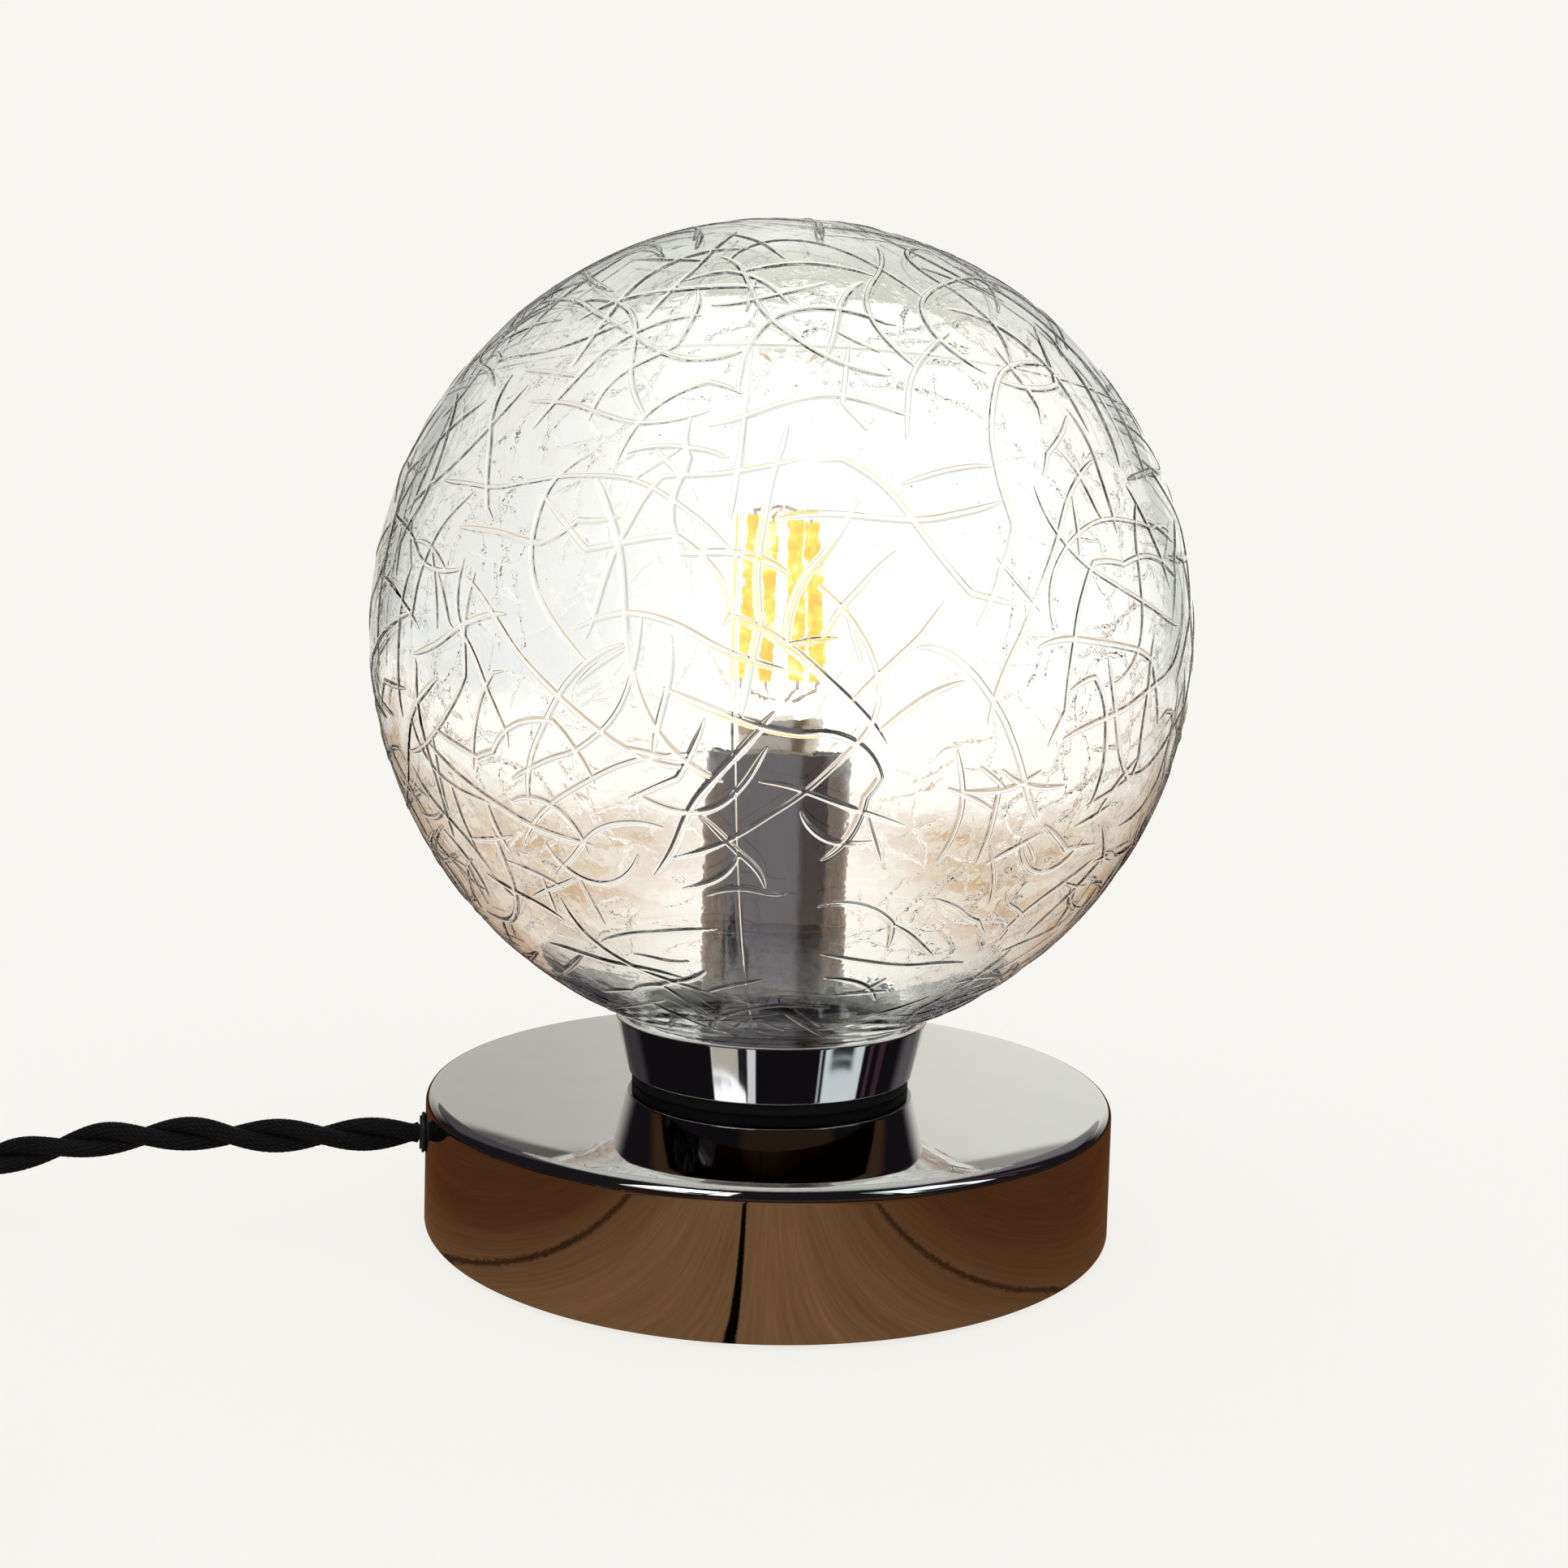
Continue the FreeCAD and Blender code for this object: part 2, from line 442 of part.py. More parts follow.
# rocker: drawn level, then tilted to its rest position with the +X end pressed down
TILT = 7.25
RK_R = 10.38             # both ends swing on this radius inside the opening
ea = math.radians(28.15)
def rk(x, z):
    return V(SXM + x, 0, PIV_Z + z)
ex, ez = RK_R * math.cos(ea), RK_R * math.sin(ea)
lower_a = math.radians(15.5)
bx, bz = (RK_R - 0.8) * math.cos(lower_a), (RK_R - 0.8) * math.sin(lower_a)
ma = (ea + lower_a) / 2
mx, mz = (RK_R - 0.25) * math.cos(ma), (RK_R - 0.25) * math.sin(ma)
top = Part.Arc(rk(-ex, ez), rk(0, 3.75), rk(ex, ez)).toShape()
def seg(a, b):
    return Part.LineSegment(a, b).toShape()
right = [Part.Arc(rk(ex, ez), rk(mx, mz), rk(bx, bz)).toShape(), seg(rk(bx, bz), rk(7.4, 1.5)), seg(rk(7.4, 1.5), rk(2.2, -1.6)), seg(rk(2.2, -1.6), rk(1.0, -4.0))]
left = [Part.Arc(rk(-ex, ez), rk(-mx, mz), rk(-bx, bz)).toShape(), seg(rk(-bx, bz), rk(-7.4, 1.5)), seg(rk(-7.4, 1.5), rk(-2.2, -1.6)), seg(rk(-2.2, -1.6), rk(-1.0, -4.0))]
nose = seg(rk(-1.0, -4.0), rk(1.0, -4.0))
rkf = Part.Face(Part.Wire(Part.__sortEdges__([top] + right + left + [nose])))
rocker = rkf.extrude(V(0, 2 * (RKY - 0.35), 0))
rocker.translate(V(0, SW_Y - RKY + 0.35, 0))
rocker = rocker.fuse(cyl(1.2, 15.4, (SXM, SW_Y - 7.7, PIV_Z), Y)).removeSplitter()
rocker.rotate(V(SXM, SW_Y, PIV_Z), Y, TILT)
save("switch_rocker", rocker)
sc = []
for s in (-1, 1):
    c = block(SXM + s * 14.0 - 2.2, SXM + s * 14.0 + 2.2, SW_Y + 3.4, SW_Y + 8.0, 1.9, 6.8)
    c = c.cut(cyl(1.1, 6, (SXM + s * 14.0 - 3, SW_Y + 5.6, 4.4), X))
    c = c.fuse(block(min(SXM + s * 1.6, SXM + s * 11.9), max(SXM + s * 1.6, SXM + s * 11.9), SW_Y + 4.2, SW_Y + 7.2, 5.9, 6.5))
    sc.append(c)
save("switch_contacts", sc)

# ---------------------------------------------------------------------------
# plug, lying flat, pins towards +X
# ---------------------------------------------------------------------------
PX0, PX1, PY, PTH, PWD = -163.0, -132.0, -93.0, 13.7, 35.3
PZ = PTH / 2.0
pw = [V(PX0, PY - 8.0, 0), V(PX0 + 9.0, PY - 12.0, 0), V(PX0 + 18.0, PY - PWD / 2, 0), V(PX1, PY - PWD / 2, 0),
      V(PX1, PY + PWD / 2, 0), V(PX0 + 18.0, PY + PWD / 2, 0), V(PX0 + 9.0, PY + 12.0, 0), V(PX0, PY + 8.0, 0)]
pl = Part.Face(Part.makePolygon(pw + [pw[0]])).extrude(V(0, 0, PTH))
pl = pl.makeFillet(3.2, [ed for ed in pl.Edges if ed.BoundBox.ZLength < 1e-6 and ed.BoundBox.XMax < PX1 + 1e-6 and not (abs(ed.BoundBox.XMin - PX1) < 1e-6)])
PIN_Y = 9.5
for s in (-1, 1):
    pl = pl.cut(cyl(1.7, 9.0, (PX1 - 8.0, PY + s * PIN_Y, PZ), X))
# finger groove across each face
for zc, sg in ((0.0, 1), (PTH, -1)):
    g = cyl(9.0, 40.0, (PX0 + 12.0, PY - 20, zc - sg * 8.1), Y)
    pl = pl.cut(g)
save("plug_body", pl)
pins = []
for s in (-1, 1):
    p = cyl(1.7, 8.5, (PX1 - 8.0, PY + s * PIN_Y, PZ), X).fuse(cyl(2.0, 17.0, (PX1, PY + s * PIN_Y, PZ), X))
    p = p.fuse(Part.makeSphere(2.0, V(PX1 + 17.0, PY + s * PIN_Y, PZ)))
    pins.append(p.removeSplitter())
save("plug_pins", pins)
BOOT = 20.0
boot = Part.makeCone(3.5, 5.0, BOOT, V(PX0 - BOOT, PY, PZ), X).cut(cyl(CORD_R + 0.05, BOOT - 4, (PX0 - BOOT, PY, PZ), X))
for i in range(4):
    x = PX0 - BOOT + 3.0 + 3.6 * i
    boot = boot.cut(cyl(12, 1.2, (x, PY, PZ), X).cut(cyl(3.45 + 0.23 * i, 3, (x - 1, PY, PZ), X)))
save("plug_boot", boot)

# ---------------------------------------------------------------------------
# cord outside the lamp
# ---------------------------------------------------------------------------
EX = -R - 1.0
LEAD_A = [(EX, 0.0, EXIT_Z), (-84.0, 0.0, EXIT_Z), (-108.0, 5.2, 16.4), (-129.0, 10.6, 12.4), (-143.5, SW_Y, SPLIT), (SW_X1 - 3.0, SW_Y, SPLIT)]
IN_X, IN_Y = COIL_X - COIL_RM, COIL_Y + 31.0
LEAD_B = [(SW_X0 + 3.0, SW_Y, SPLIT), (-227.0, SW_Y, SPLIT), (-242.2, 4.3, 5.4), (IN_X, -11.5, LIE_Z), (IN_X, IN_Y, LIE_Z)]
OUT_X, OUT_Y = COIL_X + 31.0, COIL_Y - COIL_RM
TAIL_X1 = PX0 - 4.0

tot = 0.0
a, L = route(LEAD_A, CORD_R, "cord_lead_a")
tot += L
save("cord_lead_a", a)
b, L = route(LEAD_B, CORD_R, "cord_lead_b")
tot += L
save("cord_lead_b", b)
tot += TAIL_X1 - OUT_X
save("cord_tail", cyl(CORD_R, TAIL_X1 - OUT_X, (OUT_X, OUT_Y, PZ), X))

ro, rin = COIL_RM + COIL_HALF, COIL_RM - COIL_HALF
q = 2.6
coil = lathe([(rin, COIL_Z0 + q), (rin + 0.8, COIL_Z0 + 0.8), (rin + q, COIL_Z0), (ro - q, COIL_Z0), (ro - 0.8, COIL_Z0 + 0.8), (ro, COIL_Z0 + q),
              (ro, COIL_Z1 - q - 2.5), (ro - 1.4, COIL_Z1 - q), (ro - q - 2.2, COIL_Z1), (rin + q + 2.2, COIL_Z1), (rin + 1.4, COIL_Z1 - q), (rin, COIL_Z1 - q - 2.5)], (COIL_X, COIL_Y))
stub1 = cyl(CORD_R, IN_Y - COIL_Y, (IN_X, COIL_Y, LIE_Z), Y)
stub2 = cyl(CORD_R, OUT_X - COIL_X, (COIL_X, OUT_Y, PZ), X)
coil = coil.fuse(stub1).fuse(stub2)
save("cord_coil", coil)
TURNS = 7.25
tot += TURNS * 2 * math.pi * COIL_RM + (SW_X1 - SW_X0 - 6.0) + 31.0 + 31.0
print("total cord outside the lamp about %.0f mm" % tot)

# tie round the coil, on the side away from the lamp
tw, tt = 7.0, 0.6
ti = math.sqrt(rin ** 2 - (tw / 2) ** 2) - 0.1
gapc = 0.1
tie = block(ti - tt, ro + gapc + tt, -tw / 2, tw / 2, COIL_Z0 - gapc - tt, COIL_Z1 + gapc + tt)
tie = tie.makeFillet(1.6, [ed for ed in tie.Edges if ed.BoundBox.YLength > tw - 0.01])
hole = block(ti, ro + gapc, -tw, tw, COIL_Z0 - gapc, COIL_Z1 + gapc)
hole = hole.makeFillet(1.0, [ed for ed in hole.Edges if ed.BoundBox.YLength > tw])
tie = tie.cut(hole)
tie.rotate(V(0, 0, 0), Z, 225.0)
tie.translate(V(COIL_X, COIL_Y, 0))
save("cord_tie", tie)
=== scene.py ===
import math
import bpy
import numpy as np
from mathutils import Matrix, Vector


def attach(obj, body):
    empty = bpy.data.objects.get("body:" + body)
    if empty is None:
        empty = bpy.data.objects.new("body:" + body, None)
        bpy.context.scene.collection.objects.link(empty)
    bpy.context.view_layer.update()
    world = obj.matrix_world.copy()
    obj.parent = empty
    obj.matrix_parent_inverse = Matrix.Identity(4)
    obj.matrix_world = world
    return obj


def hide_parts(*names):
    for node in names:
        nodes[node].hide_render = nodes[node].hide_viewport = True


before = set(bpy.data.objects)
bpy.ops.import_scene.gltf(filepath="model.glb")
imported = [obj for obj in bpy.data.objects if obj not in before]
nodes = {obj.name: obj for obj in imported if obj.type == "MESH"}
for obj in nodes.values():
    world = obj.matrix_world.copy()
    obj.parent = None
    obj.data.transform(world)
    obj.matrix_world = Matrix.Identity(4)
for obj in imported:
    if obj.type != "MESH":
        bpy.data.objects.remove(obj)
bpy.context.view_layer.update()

MM = 0.001
scene = bpy.context.scene
rng = np.random.default_rng(41)


# ------------------------------------------------------------------ camera
HEAD, PITCH, ROLL = math.radians(14.25), math.radians(2.987), math.radians(1.58)
forward = Vector((math.sin(HEAD) * math.cos(PITCH), math.cos(HEAD) * math.cos(PITCH), -math.sin(PITCH)))
right = Vector((math.cos(HEAD), -math.sin(HEAD), 0.0))
upward = right.cross(forward)
cam_x = math.cos(ROLL) * right + math.sin(ROLL) * upward
cam_y = math.cos(ROLL) * upward - math.sin(ROLL) * right
cam_data = bpy.data.cameras.new("camera")
cam_data.sensor_width = 36.0
cam_data.lens = 1729.14 / 1932.0 * 36.0
cam_data.clip_start = 0.01
cam_data.clip_end = 50.0
camera = bpy.data.objects.new("camera", cam_data)
scene.collection.objects.link(camera)
m = Matrix((cam_x, cam_y, -forward)).transposed().to_4x4()
m.translation = Vector((-0.0629, -0.2523, 0.0918))
camera.matrix_world = m
scene.camera = camera
# the view's own directions on the floor, used to lay out the studio
view_f = Vector((math.sin(HEAD), math.cos(HEAD), 0.0))
view_r = Vector((math.cos(HEAD), -math.sin(HEAD), 0.0))


# ------------------------------------------------------------------ mesh helpers
def mesh_object(name, verts, faces, smooth=True, uv=None):
    me = bpy.data.meshes.new(name)
    me.from_pydata([tuple(v) for v in verts], [], [tuple(f) for f in faces])
    me.update()
    if smooth:
        me.polygons.foreach_set("use_smooth", np.ones(len(me.polygons), bool))
    if uv is not None:
        layer = me.uv_layers.new(name="UVMap")
        loops = np.zeros(len(me.loops), np.int32)
        me.loops.foreach_get("vertex_index", loops)
        layer.data.foreach_set("uv", np.asarray(uv, np.float32)[loops].ravel())
    ob = bpy.data.objects.new(name, me)
    scene.collection.objects.link(ob)
    return ob


def tri_object(name, verts, tris):
    me = bpy.data.meshes.new(name)
    verts = np.asarray(verts, np.float32)
    tris = np.asarray(tris, np.int32)
    me.vertices.add(len(verts))
    me.vertices.foreach_set("co", verts.ravel())
    me.loops.add(len(tris) * 3)
    me.loops.foreach_set("vertex_index", tris.ravel())
    me.polygons.add(len(tris))
    me.polygons.foreach_set("loop_start", np.arange(0, len(tris) * 3, 3, dtype=np.int32))
    me.polygons.foreach_set("use_smooth", np.ones(len(tris), bool))
    me.update(calc_edges=True)
    me.validate()
    ob = bpy.data.objects.new(name, me)
    scene.collection.objects.link(ob)
    return ob


def arc_pts(cx, cz, rad, a0, a1, n):
    """Points (r, z) on an arc, angles in degrees from +r towards +z."""
    return [(cx + rad * math.cos(math.radians(a0 + (a1 - a0) * i / n)),
             cz + rad * math.sin(math.radians(a0 + (a1 - a0) * i / n))) for i in range(n + 1)]


def run_pts(a, b, step):
    """Points from a towards b, without b, about step apart."""
    n = max(1, int(math.ceil(math.dist(a, b) / step)))
    return [(a[0] + (b[0] - a[0]) * i / n, a[1] + (b[1] - a[1]) * i / n) for i in range(n)]


def lathe(name, outline, seg, centre=(0.0, 0.0), closed=True, sharp=()):
    """Surface of revolution about Z from an (r, z) outline in mm. r is never 0."""
    k = len(outline)
    ang = np.arange(seg) * 2 * math.pi / seg
    c, s = np.cos(ang), np.sin(ang)
    pts = np.array(outline, float)
    v = np.zeros((k, seg, 3))
    v[:, :, 0] = pts[:, :1] * c + centre[0]
    v[:, :, 1] = pts[:, :1] * s + centre[1]
    v[:, :, 2] = pts[:, 1:]
    f = []
    last = k if closed else k - 1
    for i in range(last):
        a, b = i * seg, ((i + 1) % k) * seg
        for j in range(seg):
            j2 = (j + 1) % seg
            f.append((a + j, b + j, b + j2, a + j2))
    ob = mesh_object(name, v.reshape(-1, 3) * MM, f)
    return ob


def curve_line(points, resolution=24):
    """The smooth line of a NURBS spline with these control points, as an array of points in metres."""
    cu = bpy.data.curves.new("route", "CURVE")
    cu.dimensions = "3D"
    sp = cu.splines.new("NURBS")
    sp.points.add(len(points) - 1)
    for p, q in zip(sp.points, points):
        p.co = (q[0], q[1], q[2], 1.0)
    sp.order_u = 3
    sp.use_endpoint_u = True
    sp.resolution_u = resolution
    cu.resolution_u = resolution
    bare = bpy.data.objects.new("route", cu)
    me = bpy.data.meshes.new_from_object(bare)
    line = np.array([v.co for v in me.vertices], float).reshape(-1, 3)
    bpy.data.meshes.remove(me)
    bpy.data.objects.remove(bare)
    bpy.data.curves.remove(cu)
    return line


def resample(line, step):
    along = np.concatenate([[0], np.cumsum(np.linalg.norm(np.diff(line, axis=0), axis=1))])
    at = np.linspace(0, along[-1], max(2, int(math.ceil(along[-1] / step)) + 1))
    return np.stack([np.interp(at, along, line[:, k]) for k in range(3)], axis=1), at


# ------------------------------------------------------------------ cord
CORD_D = 0.0058
STRAND_R = 0.00152
LAY = 0.0302


def frames_along(line):
    """Tangents and a normal that turns no more than the line does."""
    t = np.gradient(line, axis=0)
    t /= np.linalg.norm(t, axis=1)[:, None]
    n = np.zeros_like(t)
    a = np.array([0.0, 0.0, 1.0])
    n[0] = a - t[0] * (a @ t[0])
    n[0] /= np.linalg.norm(n[0])
    for i in range(1, len(t)):
        v = n[i - 1] - t[i] * (n[i - 1] @ t[i])
        n[i] = v / np.linalg.norm(v)
    return t, n, np.cross(t, n)


def twisted(name, line, step, around, phase, braid=0.0):
    """Two round strands laid round each other along the line, as one mesh. braid is the height in metres of the woven cover's threads."""
    pts, at = resample(line, step)
    t, n, b = frames_along(pts)
    verts, faces, uvs = [], [], []
    off = (CORD_D / 2 - STRAND_R)
    for k in range(2):
        th = 2 * math.pi * at / LAY + phase + k * math.pi
        centre = pts + off * (np.cos(th)[:, None] * n + np.sin(th)[:, None] * b)
        ct = np.gradient(centre, axis=0)
        ct /= np.linalg.norm(ct, axis=1)[:, None]
        radial = (np.cos(th)[:, None] * n + np.sin(th)[:, None] * b)
        radial -= ct * (radial * ct).sum(1)[:, None]
        radial /= np.linalg.norm(radial, axis=1)[:, None]
        side = np.cross(ct, radial)
        m_ = len(pts)
        ang = np.arange(around) * 2 * math.pi / around
        rr = np.full((m_, around), STRAND_R)
        if braid:
            # two families of threads that pass over and under each other
            u = ang[None, :] / (2 * math.pi) * 12.0
            w = at[:, None] / 0.00092
            p, q = u + w, u - w
            over = np.cos(math.pi * (np.floor(p) + np.floor(q)))
            a_ = np.abs(np.sin(math.pi * p)) * np.abs(np.sin(math.pi * q))
            rr = STRAND_R - braid + braid * (0.35 + 0.65 * a_) * (0.8 + 0.2 * over)
        ring = centre[:, None, :] + rr[:, :, None] * (np.cos(ang)[None, :, None] * radial[:, None, :] + np.sin(ang)[None, :, None] * side[:, None, :])
        base = sum(len(v) for v in verts)
        verts.append(ring.reshape(-1, 3))
        uv = np.zeros((m_, around, 2))
        uv[:, :, 0] = ang[None, :] / (2 * math.pi)
        uv[:, :, 1] = at[:, None] / (2 * math.pi * STRAND_R)
        uvs.append(uv.reshape(-1, 2))
        i = np.arange(m_ - 1)[:, None] * around
        j = np.arange(around)[None, :]
        j2 = (j + 1) % around
        q4 = np.stack([i + j, i + j2, i + around + j2, i + around + j], axis=-1).reshape(-1, 4) + base
        faces.extend(q4.tolist())
        # rounded ends
        for row, sign in ((0, -1.0), (m_ - 1, 1.0)):
            c0 = len(np.concatenate(verts))
            tip = centre[row] + ct[row] * sign * 0.0006
            verts.append(tip[None, :])
            uvs.append(np.array([[0.5, uv[row, 0, 1]]]))
            for jj in range(around):
                a1, a2 = base + row * around + jj, base + row * around + (jj + 1) % around
                faces.append((c0, a2, a1) if sign < 0 else (c0, a1, a2))
    ob = mesh_object(name, np.concatenate(verts), faces, uv=np.concatenate(uvs))
    return ob, pts


lead_route = [(-0.0635, 0.0, 0.0157), (-0.084, 0.0, 0.0157), (-0.108, 0.0052, 0.0164), (-0.129, 0.0106, 0.0124),
              (-0.1435, 0.013, 0.008), (-0.156, 0.013, 0.008)]
CX, CY, RM, PIT = -0.218, -0.060, 0.033, 0.0058
Z1, Z2, Z3 = 0.0036, 0.0093, 0.0144
R1, R2, R3 = RM - PIT, RM, RM + PIT
# the turns in order: along the bottom from outside to inside, back over them, on top, and out
STEP = 22.5
wind = [(0, R3, Z1), (297.5, R3, Z1), (342.5, R2, Z1), (360 + 297.5, R2, Z1), (360 + 342.5, R1, Z1),
        (720 + 258, R1, Z1), (720 + 303, R1, Z2), (1080 + 222, R1, Z2), (1080 + 268, R2, Z2),
        (1440 + 182, R2, Z2), (1440 + 228, R2 - PIT / 2, Z3), (1800 + 142, R2 - PIT / 2, Z3), (1800 + 188, R2 + PIT / 2, Z3),
        (2160 + 102, R2 + PIT / 2, Z3), (2160 + 150, R3, Z2), (2520 + 91, R3, Z2)]
wa = [w[0] for w in wind]
turns = []
last_angle = 7.25 * 360
k_ctrl = 1.0 / math.cos(math.radians(STEP / 2)) * 0.993
count = int(last_angle / STEP)
for i in range(count):
    a = (i + 0.5) * STEP
    r_, z_ = np.interp(a, wa, [w[1] for w in wind]), np.interp(a, wa, [w[2] for w in wind])
    th = math.pi + math.radians(a)
    turns.append((CX + r_ * k_ctrl * math.cos(th), CY + r_ * k_ctrl * math.sin(th), float(z_)))
main_route = [(-0.210, 0.013, 0.008), (-0.227, 0.013, 0.008), (-0.2425, 0.0045, 0.0052), (-0.2535, -0.0115, 0.0036), (-0.2568, -0.034, 0.0036)]
main_route += turns
main_route += [(-0.204, -0.0985, 0.0088), (-0.190, -0.0952, 0.0072), (-0.181, -0.093, 0.00685), (-0.167, -0.093, 0.00685)]

lead_line = curve_line(lead_route)
main_line = curve_line(main_route, 12)
cord_lead, lead_path = twisted("cord_lead", lead_line, 0.00018, 36, 1.60, braid=0.00010)
cord_main, main_path = twisted("cord_main", main_line, 0.0007, 20, 0.6)
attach(cord_lead, "lamp_base")
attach(cord_main, "lamp_base")
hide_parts("cord_lead_a")
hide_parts("cord_lead_b", "cord_coil", "cord_tail")


def path_length(p):
    return float(np.linalg.norm(np.diff(p, axis=0), axis=1).sum())


print("cord lengths", path_length(lead_path), path_length(main_path))


# ------------------------------------------------------------------ material helpers
def new_material(name):
    mt = bpy.data.materials.new(name)
    mt.use_nodes = True
    nt = mt.node_tree
    for n in list(nt.nodes):
        nt.nodes.remove(n)
    out = nt.nodes.new("ShaderNodeOutputMaterial")
    return mt, nt, out


def node(nt, kind, **props):
    n = nt.nodes.new(kind)
    for k, v in props.items():
        setattr(n, k, v)
    return n


def put(nt, a, b):
    nt.links.new(a, b)


def coords(nt, space="Object", scale=(1, 1, 1), rot=(0, 0, 0)):
    tc = node(nt, "ShaderNodeTexCoord")
    mp = node(nt, "ShaderNodeMapping")
    mp.inputs["Scale"].default_value = scale
    mp.inputs["Rotation"].default_value = rot
    put(nt, tc.outputs[space], mp.inputs["Vector"])
    return mp.outputs["Vector"]


def noise(nt, vec, scale, detail=3.0, rough=0.5, distortion=0.0):
    n = node(nt, "ShaderNodeTexNoise")
    n.inputs["Scale"].default_value = scale
    n.inputs["Detail"].default_value = detail
    n.inputs["Roughness"].default_value = rough
    n.inputs["Distortion"].default_value = distortion
    put(nt, vec, n.inputs["Vector"])
    return n.outputs["Fac"]


def ramp(nt, fac, stops, mode="LINEAR"):
    r = node(nt, "ShaderNodeValToRGB")
    r.color_ramp.interpolation = mode
    while len(r.color_ramp.elements) < len(stops):
        r.color_ramp.elements.new(0.5)
    for e, (pos, col) in zip(r.color_ramp.elements, stops):
        e.position = pos
        e.color = (*col, 1.0) if len(col) == 3 else col
    put(nt, fac, r.inputs["Fac"])
    return r.outputs["Color"]


def span(nt, fac, a, b, lo, hi, mode="LINEAR"):
    n = node(nt, "ShaderNodeMapRange", interpolation_type=mode)
    n.inputs["From Min"].default_value = a
    n.inputs["From Max"].default_value = b
    n.inputs["To Min"].default_value = lo
    n.inputs["To Max"].default_value = hi
    put(nt, fac, n.inputs["Value"])
    return n.outputs["Result"]


def calc(nt, op, a, b=None, clamp=False):
    n = node(nt, "ShaderNodeMath", operation=op, use_clamp=clamp)
    for i, x in enumerate((a, b)):
        if x is None:
            continue
        if isinstance(x, (int, float)):
            n.inputs[i].default_value = x
        else:
            put(nt, x, n.inputs[i])
    return n.outputs[0]


def bump(nt, height, strength, distance, under=None):
    b = node(nt, "ShaderNodeBump")
    b.inputs["Strength"].default_value = strength
    b.inputs["Distance"].default_value = distance
    put(nt, height, b.inputs["Height"])
    if under is not None:
        put(nt, under, b.inputs["Normal"])
    return b.outputs["Normal"]


def principled(nt, out, **kw):
    p = node(nt, "ShaderNodeBsdfPrincipled")
    names = {"color": "Base Color", "metal": "Metallic", "rough": "Roughness", "ior": "IOR", "glass": "Transmission Weight", "spec": "Specular IOR Level",
             "coat": "Coat Weight", "coat_rough": "Coat Roughness", "sheen": "Sheen Weight", "sheen_rough": "Sheen Roughness", "sss": "Subsurface Weight",
             "emit": "Emission Color", "emit_power": "Emission Strength", "normal": "Normal", "alpha": "Alpha"}
    for k, v in kw.items():
        s = p.inputs[names[k]]
        if isinstance(v, bpy.types.NodeSocket):
            put(nt, v, s)
        elif isinstance(v, tuple):
            s.default_value = (*v, 1.0)
        else:
            s.default_value = v
    put(nt, p.outputs["BSDF"], out.inputs["Surface"])
    return p


# ------------------------------------------------------------------ materials
def mirror_metal(name, tone, low, high, grain=0.0):
    """Polished plated metal: faint wipe marks and a little waviness in the polish."""
    mt, nt, out = new_material(name)
    v = coords(nt)
    smudge = noise(nt, v, 70.0, 4.0, 0.6, 0.4)
    fine = noise(nt, coords(nt, scale=(1, 1, 0.15)), 2200.0, 2.0)
    col = ramp(nt, smudge, [(0.25, tuple(c * 0.94 for c in tone)), (0.75, tone)])
    rough = span(nt, smudge, 0.35, 0.75, low, high)
    wave = noise(nt, v, 28.0, 2.0)
    nrm = bump(nt, wave, 0.35, 0.00012)
    if grain:
        nrm = bump(nt, fine, grain, 0.00001, nrm)
    principled(nt, out, color=col, metal=1.0, rough=rough, normal=nrm)
    return mt


def plastic(name, tone, rough, texture=0.0, tex_scale=1800.0, coat=0.0):
    mt, nt, out = new_material(name)
    v = coords(nt)
    n1 = noise(nt, v, 120.0, 4.0, 0.6)
    n2 = noise(nt, v, tex_scale, 3.0, 0.6)
    col = ramp(nt, n1, [(0.3, tuple(c * 0.86 for c in tone)), (0.7, tuple(min(1, c * 1.1) for c in tone))])
    r = span(nt, n1, 0.3, 0.7, max(0.02, rough - 0.05), rough + 0.06)
    kw = dict(color=col, rough=r)
    if texture:
        kw["normal"] = bump(nt, n2, texture, 0.00005)
    if coat:
        kw["coat"] = coat
        kw["coat_rough"] = 0.08
    principled(nt, out, **kw)
    return mt


def satin_metal(name, tone, rough, scratch=(1, 1, 1), strength=0.25):
    mt, nt, out = new_material(name)
    n1 = noise(nt, coords(nt), 90.0, 4.0, 0.65)
    n2 = noise(nt, coords(nt, scale=scratch), 1500.0, 3.0, 0.7)
    col = ramp(nt, n1, [(0.25, tuple(c * 0.82 for c in tone)), (0.75, tuple(min(1, c * 1.04) for c in tone))])
    principled(nt, out, color=col, metal=1.0, rough=span(nt, n1, 0.25, 0.75, rough * 0.8, rough * 1.3),
               normal=bump(nt, n2, strength, 0.00004))
    return mt


